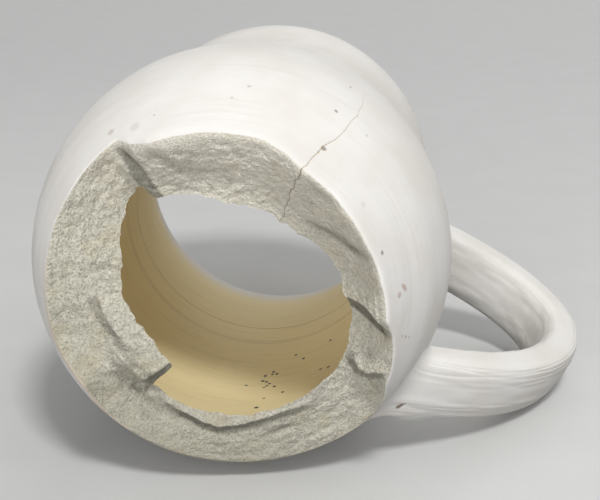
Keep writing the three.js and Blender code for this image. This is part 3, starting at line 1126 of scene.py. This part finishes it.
def linear(colour: str) -> tuple[float, float, float, float]:
    """Turns an sRGB hex colour into the linear colour that a shader takes."""
    channels = [int(colour[k : k + 2], 16) / 255.0 for k in (1, 3, 5)]
    return (*(c / 12.92 if c <= 0.04045 else ((c + 0.055) / 1.055) ** 2.4 for c in channels), 1.0)


def add_node(
    tree: bpy.types.NodeTree,
    kind: str,
    inputs: dict | tuple = (),
    stops: tuple[tuple[float, str], ...] = (),
    **settings: object,
) -> bpy.types.Node:
    """Adds a node with its settings and links.

    Args:
        tree: The tree that gets it.
        kind: Blender's name of the node type.
        inputs: Values or sockets for its inputs, in their order, or by name or number.
        stops: Positions and sRGB hex colours, where it is a colour ramp.
        **settings: The node's own properties.

    Returns:
        The new node.
    """
    node = tree.nodes.new(kind)
    for title, value in settings.items():
        setattr(node, title, value)
    for key, value in inputs.items() if isinstance(inputs, dict) else enumerate(inputs):
        if isinstance(value, bpy.types.NodeSocket):
            tree.links.new(value, node.inputs[key])
        else:
            node.inputs[key].default_value = value
    for place, (position, colour) in enumerate(stops):
        elements = node.color_ramp.elements
        element = elements[place] if place < len(elements) else elements.new(position)
        element.position = position
        element.color = linear(colour)
    return node


def start_material(name: str) -> tuple[bpy.types.Material, bpy.types.NodeTree, bpy.types.Node]:
    """Makes a material with a plain shader.

    Args:
        name: The material's name.

    Returns:
        The material, its tree and its shader.
    """
    material = bpy.data.materials.new(name)
    material.use_nodes = True
    return material, material.node_tree, material.node_tree.nodes["Principled BSDF"]


def spots(tree: bpy.types.NodeTree, place: bpy.types.NodeSocket, marks: Rows) -> bpy.types.NodeSocket:
    """Marks small round spots.

    Args:
        tree: The material's tree.
        place: Upright coordinates of the surface, in metres.
        marks: Angle, radius from the axis, height, size and strength of each spot.

    Returns:
        A value that is each spot's strength up to its core's edge and 0 outside all of them.
    """
    total = None
    for angle, radius, height, size, strength in marks:
        centre = upright(np.array(angle), np.array(radius), np.array(height)) * MM
        gap = add_node(tree, "ShaderNodeVectorMath", (place, centre.tolist()), operation="DISTANCE")
        reach = (gap.outputs["Value"], SPOT_CORE * size * MM, size * MM, strength, 0.0)
        near = add_node(tree, "ShaderNodeMapRange", reach).outputs["Result"]
        if total is None:
            total = near
        else:
            total = add_node(tree, "ShaderNodeMath", (total, near), operation="MAXIMUM").outputs[0]
    return total


# White stoneware, thrown, sponged smooth and bisque fired without a glaze. The eye gets a chalky,
# even white with hardly any shine, faint lines where the sponge and the wheel's grit dragged, and
# pits and brown specks burnt out of the clay. The sponge's lines are about 0.3 mm apart and are
# drawn at 0.9 mm, which is as fine as shows from the camera's place.


@dataclass(frozen=True)
class BisqueSkin:
    """Bisque-fired stoneware, sponged smooth and left bare: a chalky, matt, warm white.

    Pits and stains are (angle, height, size, strength), and the dark spots of dirt and painted
    shade at the handle's foot also have their radius. A limit pair says between which two values of
    its pattern something fades.
    """

    light: str = "#EAE7E2"
    shade: str = "#E3DFD8"
    dragged: str = "#D2CDC0"
    crack: str = "#C0AC93"
    pit: str = "#80715F"
    stain: str = "#A58672"
    slip: str = "#C9AE8C"
    roughness: float = 0.88
    line_mm: float = 0.9
    line_limits: tuple[float, float] = (0.28, 0.42)
    line_strength: float = 0.22
    mottle_mm: float = 14.0
    mottle_limits: tuple[float, float] = (0.35, 0.62)
    speck_mm: float = 7.0
    speck_limits: tuple[float, float] = (0.015, 0.04)
    speck_strength: float = 0.4
    slip_limits: tuple[float, float] = (-6.0, -26.0)
    slip_strength: float = 0.8
    tooth_mm: float = 0.55
    tooth_share: float = 0.35
    pit_depth: float = 4.0
    bump_mm: float = 0.12
    bump_strength: float = 0.6
    pits: Rows = (
        (6.9, -20.5, 0.5, 0.6), (9.1, -30.35, 0.7, 0.75), (8.0, -31.8, 0.3, 0.3),
        (46.7, -34.9, 0.5, 0.7), (-18.0, -22.2, 0.5, 0.3), (-22.1, -25.7, 0.4, 0.3),
        (67.5, -36.2, 0.4, 0.6), (17.7, -20.7, 0.3, 0.3), (-45.3, -27.3, 0.35, 0.3),
        (7.4, -8.5, 0.35, 0.6),
    )
    # Dark spots where the handle's lower foot meets the wall: dirt and painted shade of the crevice.
    joint_grime_and_shade: Rows = (
        (106.8, 47.0, -11.9, 0.8, 0.9), (106.0, 47.2, -11.9, 0.7, 0.9), (105.3, 47.5, -11.8, 0.5, 0.6),
    )
    stains: Rows = (
        (60.9, -30.9, 0.6, 0.5), (61.7, -30.4, 0.7, 0.6), (62.5, -30.1, 0.6, 0.5),
        (63.5, -32.0, 0.8, 0.5), (78.6, -29.1, 0.45, 0.4), (79.3, -27.8, 0.5, 0.5),
        (79.9, -26.6, 0.45, 0.4), (-60.1, -25.6, 1.0, 0.35), (30.0, -33.5, 0.8, 0.15),
        (-52.0, -28.0, 1.4, 0.2),
    )

    def on_wall(self, marks: Rows) -> Rows:
        """Adds the wall's radius to marks of angle, height, size and strength."""
        wall = PotProfile()
        return tuple((angle, float(wall.outer(height)), height, *rest) for angle, height, *rest in marks)

    def build(self) -> bpy.types.Material:
        """Makes the material of the outer skin.

        Returns:
            The material, which reads the attributes pot, grain and marks of the mesh.
        """
        material, tree, shader = start_material("bisque_fired_skin")
        pot, grain, marks = (
            add_node(tree, "ShaderNodeAttribute", attribute_name=title).outputs["Vector"]
            for title in ("pot", "grain", "marks")
        )
        marks = add_node(tree, "ShaderNodeSeparateXYZ", (marks,)).outputs
        mottle, lines, tooth = (
            add_node(tree, "ShaderNodeTexNoise", pattern).outputs["Fac"]
            for pattern in (
                {"Vector": pot, "Scale": 1.0 / (self.mottle_mm * MM), "Detail": 4.0},
                {"Vector": grain, "Scale": 1.0 / self.line_mm, "Detail": 5.0},
                {"Vector": pot, "Scale": 1.0 / (self.tooth_mm * MM), "Detail": 3.0},
            )
        )
        tones = tuple(zip(self.mottle_limits, (self.shade, self.light)))
        colour = add_node(tree, "ShaderNodeValToRGB", (mottle,), tones).outputs["Color"]
        cells = add_node(tree, "ShaderNodeTexVoronoi", {"Vector": pot, "Scale": 1.0 / (self.speck_mm * MM)})
        low = add_node(tree, "ShaderNodeSeparateXYZ", (pot,)).outputs["X"]
        start, end = self.slip_limits
        dragged, specked, under = (
            add_node(tree, "ShaderNodeMapRange", reach).outputs["Result"]
            for reach in (
                (lines, *self.line_limits, self.line_strength, 0.0),
                (cells.outputs["Distance"], *self.speck_limits, self.speck_strength, 0.0),
                (low, start * MM, end * MM, 0.0, self.slip_strength),
            )
        )
        worn = add_node(tree, "ShaderNodeMath", (marks["X"], under), operation="MULTIPLY").outputs[0]
        stained = spots(tree, pot, self.on_wall(self.stains))
        # Pits, and the dirt and painted shade at the handle's foot, darkened and sunk alike.
        pits_and_joint_shade = spots(tree, pot, self.on_wall(self.pits) + self.joint_grime_and_shade)
        for share, tone in (
            (dragged, self.dragged), (specked, self.pit), (worn, self.slip),
            (marks["Y"], self.crack), (stained, self.stain), (pits_and_joint_shade, self.pit),
        ):
            layer = {MIX_SHARE: share, MIX_BELOW: colour, MIX_ABOVE: linear(tone)}
            colour = add_node(tree, "ShaderNodeMix", layer, data_type="RGBA").outputs[MIX_RESULT]
        tree.links.new(colour, shader.inputs["Base Color"])
        shader.inputs["Roughness"].default_value = self.roughness
        rough = (tooth, self.tooth_share, lines)
        rough = add_node(tree, "ShaderNodeMath", rough, operation="MULTIPLY_ADD").outputs[0]
        sunk = (pits_and_joint_shade, -self.pit_depth, rough)
        sunk = add_node(tree, "ShaderNodeMath", sunk, operation="MULTIPLY_ADD").outputs[0]
        depth = {"Height": sunk, "Distance": self.bump_mm * MM, "Strength": self.bump_strength}
        bump = add_node(tree, "ShaderNodeBump", depth)
        tree.links.new(bump.outputs["Normal"], shader.inputs["Normal"])
        return material


# The same stoneware body, torn open. The eye gets a dry, granular grey buff that never shines,
# with grains of ochre grit. Every pore and groove is darkened by painted shade, the side that faces
# up is paler from painted light and the side that faces down darker from painted shade. The body's
# grains are about 0.2 mm and are drawn at 0.5 mm, which is as fine as shows from the camera's place.


@dataclass(frozen=True)
class TornClay:
    """Torn stoneware body: granular, with ochre grit, painted shade in its pores and grooves, and painted
    light and shade on its upper and lower sides.

    A limit pair says between which two values of its pattern something fades. The painted light
    on the upper side and the painted shade on the lower side are limited by the distance from the
    axis, towards the side that faces up, in mm.
    """

    pore: str = "#A5A091"
    body: str = "#CCC8B8"
    crest: str = "#DFDBCD"
    body_stops: tuple[float, float, float] = (0.32, 0.48, 0.66)
    # Painted light and shade: paler on the side that faces up, darker on the side that faces down.
    top_light: str = "#F2ECDD"
    top_light_limits: tuple[float, float] = (-4.0, 30.0)
    under_shade: str = "#9C9888"
    under_shade_limits: tuple[float, float] = (-18.0, -42.0)
    side_strength: float = 0.6
    warm: str = "#C6B995"
    warm_mm: float = 6.0
    warm_limits: tuple[float, float] = (0.5, 0.72)
    warm_strength: float = 0.4
    grit: str = "#B39A74"
    grit_mm: float = 4.2
    grit_limits: tuple[float, float] = (0.04, 0.1)
    grit_strength: float = 0.4
    # Painted shade for the steps, furrows and pores, with its grain.
    hollow: str = "#5E5B52"
    shade_grain: str = "#827E72"
    shade_stops: tuple[float, float] = (0.32, 0.62)
    crack: str = "#94876E"
    roughness: float = 0.96
    specular: float = 0.25
    grain_mm: float = 0.48
    bump_mm: float = 0.7
    bump_strength: float = 0.9

    def build(self) -> bpy.types.Material:
        """Makes the material of the break.

        Returns:
            The material, which reads the attributes pot and marks of the mesh.
        """
        material, tree, shader = start_material("torn_stoneware_body")
        pot, marks = (
            add_node(tree, "ShaderNodeAttribute", attribute_name=title).outputs["Vector"]
            for title in ("pot", "marks")
        )
        marks = add_node(tree, "ShaderNodeSeparateXYZ", (marks,)).outputs
        grain, patch = (
            add_node(tree, "ShaderNodeTexNoise", {"Vector": pot, "Detail": 3.0, **more}).outputs["Fac"]
            for more in (
                {"Scale": 1.0 / (self.grain_mm * MM), "Roughness": 0.6},
                {"Scale": 1.0 / (self.warm_mm * MM)},
            )
        )
        bodies = tuple(zip(self.body_stops, (self.pore, self.body, self.crest)))
        painted_shade = tuple(zip(self.shade_stops, (self.hollow, self.shade_grain)))
        colour, shaded = (
            add_node(tree, "ShaderNodeValToRGB", (grain,), tones).outputs["Color"]
            for tones in (bodies, painted_shade)
        )
        cells = add_node(tree, "ShaderNodeTexVoronoi", {"Vector": pot, "Scale": 1.0 / (self.grit_mm * MM)})
        side = add_node(tree, "ShaderNodeSeparateXYZ", (pot,)).outputs["X"]
        top_light = tuple(limit * MM for limit in self.top_light_limits)
        under_shade = tuple(limit * MM for limit in self.under_shade_limits)
        for reach, tone in (
            ((patch, *self.warm_limits, 0.0, self.warm_strength), self.warm),
            ((cells.outputs["Distance"], *self.grit_limits, self.grit_strength, 0.0), self.grit),
            # Painted light on the upper side and painted shade on the lower side.
            ((side, *top_light, 0.0, self.side_strength), self.top_light),
            ((side, *under_shade, 0.0, self.side_strength), self.under_shade),
        ):
            share = add_node(tree, "ShaderNodeMapRange", reach).outputs["Result"]
            layer = {MIX_SHARE: share, MIX_BELOW: colour, MIX_ABOVE: linear(tone)}
            colour = add_node(tree, "ShaderNodeMix", layer, data_type="RGBA").outputs[MIX_RESULT]
        # Painted shade where the mesh marks it, then the crack's colour.
        for share, tone in ((marks["Z"], shaded), (marks["Y"], linear(self.crack))):
            layer = {MIX_SHARE: share, MIX_BELOW: colour, MIX_ABOVE: tone}
            colour = add_node(tree, "ShaderNodeMix", layer, data_type="RGBA").outputs[MIX_RESULT]
        tree.links.new(colour, shader.inputs["Base Color"])
        shader.inputs["Roughness"].default_value = self.roughness
        shader.inputs["Specular IOR Level"].default_value = self.specular
        depth = {"Height": grain, "Distance": self.bump_mm * MM, "Strength": self.bump_strength}
        bump = add_node(tree, "ShaderNodeBump", depth)
        tree.links.new(bump.outputs["Normal"], shader.inputs["Normal"])
        return material


# A thin ochre slip, poured in, swilled round and fired with the body. The eye gets a warm straw
# colour with a soft, broad shine, fine rings left by the wheel, three scored lines, black specks of
# iron, and a band that grows paler towards the lip. The rings are about 0.3 mm apart and are drawn
# at 0.55 mm, which is as fine as shows from the camera's place.


@dataclass(frozen=True)
class OchreLining:
    """An ochre slip wash, laid on thinly inside: smooth, softly shining, and paler towards the lip.

    Scored lines are (height, width, strength) and specks (angle, height, size).
    """

    wash: str = "#F5E5B3"
    dark: str = "#EAD8A4"
    ring_stops: tuple[float, float] = (0.3, 0.48)
    # Paler towards the lip, faded in over these heights.
    lip_pale: str = "#E6E1DA"
    lip_pale_limits: tuple[float, float] = (60.0, 76.0)
    speck: str = "#120E0B"
    speck_swell: float = 1.15
    scored: str = "#A08A5C"
    score_blur: tuple[float, float] = (0.4, 1.6)
    roughness: float = 0.5
    ring_mm: float = 0.55
    bump_mm: float = 0.06
    bump_strength: float = 0.6
    scores: Triples = (
        (40.2, 0.14, 0.75), (32.8, 0.12, 0.6), (31.9, 0.12, 0.55),
    )
    specks: Triples = (
        (147.8, 16.4, 0.42), (148.1, 15.3, 0.38), (146.3, 15.3, 0.45), (150.8, 14.8, 0.45),
        (151.4, 12.3, 0.5), (149.9, 11.8, 0.45), (148.6, 10.7, 0.4), (149.4, 9.6, 0.42),
        (150.3, 8.7, 0.36), (146.4, 8.8, 0.48), (142.7, 5.1, 0.42), (149.4, 3.0, 0.36),
        (157.3, 9.9, 0.4), (139.4, 23.6, 0.42), (135.9, 20.5, 0.48), (128.1, 11.3, 0.45),
        (124.7, 10.3, 0.48), (123.9, 24.4, 0.4), (151.1, -2.6, 0.6),
    )

    def on_lining(self) -> Rows:
        """The specks with the lining's radius, as spots() takes them."""
        pot = PotProfile()
        return tuple(
            (angle, float(pot.inner(max(level, 0.0))), level, self.speck_swell * size, 1.0)
            for angle, level, size in self.specks
        )

    def build(self) -> bpy.types.Material:
        """Makes the material of the cavity.

        Returns:
            The material, which reads the attributes pot and grain of the mesh.
        """
        material, tree, shader = start_material("ochre_slip_lining")
        pot, grain = (
            add_node(tree, "ShaderNodeAttribute", attribute_name=title).outputs["Vector"]
            for title in ("pot", "grain")
        )
        pattern = {"Vector": grain, "Scale": 1.0 / self.ring_mm, "Detail": 4.0, "Roughness": 0.6}
        rings = add_node(tree, "ShaderNodeTexNoise", pattern).outputs["Fac"]
        tones = tuple(zip(self.ring_stops, (self.dark, self.wash)))
        colour = add_node(tree, "ShaderNodeValToRGB", (rings,), tones).outputs["Color"]
        height = add_node(tree, "ShaderNodeSeparateXYZ", (pot,)).outputs["Z"]
        reach = (height, *(limit * MM for limit in self.lip_pale_limits))
        fade = add_node(tree, "ShaderNodeMapRange", reach, interpolation_type="SMOOTHSTEP")
        layers = [(fade.outputs["Result"], self.lip_pale)]
        for level, width, strength in self.scores:
            off = add_node(tree, "ShaderNodeMath", (height, level * MM), operation="SUBTRACT").outputs[0]
            off = add_node(tree, "ShaderNodeMath", (off,), operation="ABSOLUTE").outputs[0]
            reach = (off, *(blur * width * MM for blur in self.score_blur), strength, 0.0)
            layers.append((add_node(tree, "ShaderNodeMapRange", reach).outputs["Result"], self.scored))
        layers.append((spots(tree, pot, self.on_lining()), self.speck))
        for share, tone in layers:
            layer = {MIX_SHARE: share, MIX_BELOW: colour, MIX_ABOVE: linear(tone)}
            colour = add_node(tree, "ShaderNodeMix", layer, data_type="RGBA").outputs[MIX_RESULT]
        tree.links.new(colour, shader.inputs["Base Color"])
        shader.inputs["Roughness"].default_value = self.roughness
        depth = {"Height": rings, "Distance": self.bump_mm * MM, "Strength": self.bump_strength}
        bump = add_node(tree, "ShaderNodeBump", depth)
        tree.links.new(bump.outputs["Normal"], shader.inputs["Normal"])
        return material


# The fired piece


@dataclass
class CrackedMug:
    """The whole fired piece: the pot with its handle smeared on, laid down."""

    pot: ThrownPot = field(default_factory=ThrownPot)
    handle: PulledHandle = field(default_factory=PulledHandle)
    place: RestingPlace = field(default_factory=RestingPlace)
    crease_angle: float = 62.0

    def build(self) -> bpy.types.Object:
        """Builds body and handle and fuses them.

        Returns:
            The mug as one object, declared to the frame.
        """
        materials = [BisqueSkin().build(), TornClay().build(), OchreLining().build()]
        mug = self.pot.build().to_object("fired_mug", self.place, materials)
        strap = self.handle.build().to_object("strap", self.place, materials)
        self.fuse(mug, strap)
        mug.data.shade_smooth()
        mug.data.set_sharp_from_angle(angle=math.radians(self.crease_angle))
        self.settle(mug)
        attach(mug, "root")
        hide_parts(NODE)
        return mug

    def fuse(self, mug: bpy.types.Object, strap: bpy.types.Object) -> None:
        """Joins the strap to the pot as one closed body.

        Args:
            mug: The pot, which becomes the whole mug.
            strap: The handle's strap, which is removed.
        """
        union = mug.modifiers.new("smear", "BOOLEAN")
        union.operation = "UNION"
        union.solver = "MANIFOLD"
        union.object = strap
        graph = bpy.context.evaluated_depsgraph_get()
        fused = bpy.data.meshes.new_from_object(mug.evaluated_get(graph))
        mug.modifiers.clear()
        mug.data = fused
        bpy.data.objects.remove(strap)

    def settle(self, mug: bpy.types.Object) -> None:
        """Lowers or lifts the mug until its lowest point touches the floor.

        Args:
            mug: The fused mug.
        """
        coordinates = np.empty(3 * len(mug.data.vertices), dtype=np.float32)
        mug.data.vertices.foreach_get("co", coordinates)
        coordinates[2::3] -= coordinates[2::3].min()
        mug.data.vertices.foreach_set("co", coordinates)
        mug.data.update()


# The studio


@dataclass(frozen=True)
class Softbox:
    """A square soft lamp: its name, place and size in metres, and power in watts."""

    name: str
    place: Point
    size: float
    power: float

    def hang(self, target: Vector) -> None:
        """Hangs the lamp.

        Args:
            target: The point that it shines at.
        """
        lamp = bpy.data.lights.new(self.name, "AREA")
        lamp.shape = "SQUARE"
        lamp.size = self.size
        lamp.energy = self.power
        obj = bpy.data.objects.new(self.name, lamp)
        obj.location = self.place
        obj.rotation_euler = (target - Vector(self.place)).to_track_quat("-Z", "Y").to_euler()
        bpy.context.scene.collection.objects.link(obj)


# Seamless studio paper, rolled out flat. The eye gets an even pale grey without shine that runs into
# the background of the same colour. Its mottle is drawn about 17 mm wide, as the paper's own fibres
# are too fine to show. The mug's underside gets as much light from it as a mid-grey floor gives.


@dataclass
class Studio:
    """Pale floor, soft light and the camera at the photo's viewpoint, which is in millimetres."""

    floor_colour: str = "#D8D8D6"
    floor_shade: str = "#D5D5D3"
    floor_stops: tuple[float, float] = (0.3, 0.7)
    floor_bounce: str = "#8C8C8C"
    floor_roughness: float = 0.95
    floor_mottles: float = 60.0
    floor_radius: float = 4.0
    floor_sides: int = 64
    floor_fade: tuple[float, float] = (0.45, 1.9)
    camera_place: Point = (17.96, -284.2, 138.09)
    forward: Point = (-0.0806, 0.9413, -0.3278)
    lens: float = 75.0
    sensor: float = 36.0
    nearest_view: float = 0.01
    target: Point = (0.0, 0.0, 0.04)
    lamps: tuple[Softbox, ...] = (
        Softbox("key_softbox", (0.24, -0.76, 1.1), 0.2, 8.8),
        Softbox("fill_softbox", (-0.2, -1.14, 0.12), 0.7, 9.6),
        Softbox("top_softbox", (0.8, -0.1, 0.9), 1.0, 2.2),
        Softbox("mouth_softbox", (0.2, 0.8, 1.0), 1.0, 3.4),
    )
    sky: float = 0.24
    sky_colour: str = "#F4F6FA"

    def build(self) -> None:
        """Sets floor, lights, background and camera."""
        self.lay_floor()
        for lamp in self.lamps:
            lamp.hang(Vector(self.target))
        self.light_room()
        self.set_camera()

    def lay_floor(self) -> None:
        """Lays a pale matt disc under the mug."""
        turns = [2.0 * math.pi * k / self.floor_sides for k in range(self.floor_sides)]
        rim = [(self.floor_radius * math.cos(t), self.floor_radius * math.sin(t), 0.0) for t in turns]
        mesh = bpy.data.meshes.new("floor")
        mesh.from_pydata(rim, [], [tuple(range(self.floor_sides))])
        mesh.materials.append(self.paper())
        floor = bpy.data.objects.new("floor", mesh)
        bpy.context.scene.collection.objects.link(floor)

    def paper(self) -> bpy.types.Material:
        """Makes the floor's material.

        Returns:
            The material, which far from the mug turns into the background's colour for the camera.
        """
        material, tree, shader = start_material("matt_paper_floor")
        place = add_node(tree, "ShaderNodeTexCoord").outputs["Object"]
        pattern = {"Vector": place, "Scale": self.floor_mottles, "Detail": 3.0}
        fibre = add_node(tree, "ShaderNodeTexNoise", pattern).outputs["Fac"]
        tones = tuple(zip(self.floor_stops, (self.floor_shade, self.floor_colour)))
        tone = add_node(tree, "ShaderNodeValToRGB", (fibre,), tones).outputs["Color"]
        layer = {MIX_SHARE: self.seen(tree), MIX_BELOW: linear(self.floor_bounce), MIX_ABOVE: tone}
        tone = add_node(tree, "ShaderNodeMix", layer, data_type="RGBA").outputs[MIX_RESULT]
        tree.links.new(tone, shader.inputs["Base Color"])
        shader.inputs["Roughness"].default_value = self.floor_roughness
        distance = add_node(tree, "ShaderNodeVectorMath", (place,), operation="LENGTH").outputs["Value"]
        far = add_node(tree, "ShaderNodeMapRange", (distance, *self.floor_fade)).outputs["Result"]
        share = add_node(tree, "ShaderNodeMath", (far, self.seen(tree)), operation="MULTIPLY").outputs[0]
        glow = add_node(tree, "ShaderNodeEmission", (linear(self.floor_colour),))
        both = (share, shader.outputs["BSDF"], glow.outputs["Emission"])
        both = add_node(tree, "ShaderNodeMixShader", both).outputs["Shader"]
        tree.links.new(both, tree.nodes["Material Output"].inputs["Surface"])
        return material

    def seen(self, tree: bpy.types.NodeTree) -> bpy.types.NodeSocket:
        """Tells what the camera sees from what only lights the mug.

        Args:
            tree: The tree that asks.

        Returns:
            A value that is 1 for what is seen directly, mirrored or through glass.
        """
        path = add_node(tree, "ShaderNodeLightPath").outputs
        seen = path["Is Camera Ray"]
        for way in ("Is Glossy Ray", "Is Transmission Ray"):
            seen = add_node(tree, "ShaderNodeMath", (seen, path[way]), operation="MAXIMUM").outputs[0]
        return seen

    def light_room(self) -> None:
        """Fills the room with even light and shows it as a pale background."""
        world = bpy.data.worlds.new("pale_room")
        world.use_nodes = True
        tree = world.node_tree
        light = tree.nodes["Background"]
        light.inputs["Color"].default_value = linear(self.sky_colour)
        light.inputs["Strength"].default_value = self.sky
        backdrop = add_node(tree, "ShaderNodeBackground", (linear(self.floor_colour), 1.0))
        both = (self.seen(tree), light.outputs["Background"], backdrop.outputs["Background"])
        both = add_node(tree, "ShaderNodeMixShader", both).outputs["Shader"]
        tree.links.new(both, tree.nodes["World Output"].inputs["Surface"])
        bpy.context.scene.world = world

    def set_camera(self) -> None:
        """Puts the camera where the photograph was taken from."""
        camera = bpy.data.cameras.new("camera")
        camera.sensor_width = self.sensor
        camera.lens = self.lens
        camera.clip_start = self.nearest_view
        obj = bpy.data.objects.new("camera", camera)
        forward = Vector(self.forward).normalized()
        right = forward.cross(Vector((0.0, 0.0, 1.0))).normalized()
        up = right.cross(forward)
        turn = Matrix((right, up, -forward)).transposed()
        obj.matrix_world = Matrix.Translation(Vector(self.camera_place) * MM) @ turn.to_4x4()
        bpy.context.scene.collection.objects.link(obj)
        bpy.context.scene.camera = obj
        bpy.context.scene.view_settings.view_transform = "Standard"


def main() -> None:
    """Builds the mug and the studio and reports each."""
    logging.basicConfig(level=logging.INFO, format="%(name)s: %(message)s")
    mug = CrackedMug().build()
    log.info("%s: %d vertices, %d faces", mug.name, len(mug.data.vertices), len(mug.data.polygons))
    studio = Studio()
    studio.build()
    log.info("studio: floor, camera and %d lamps", len(studio.lamps))


if __name__ == "__main__":
    main()
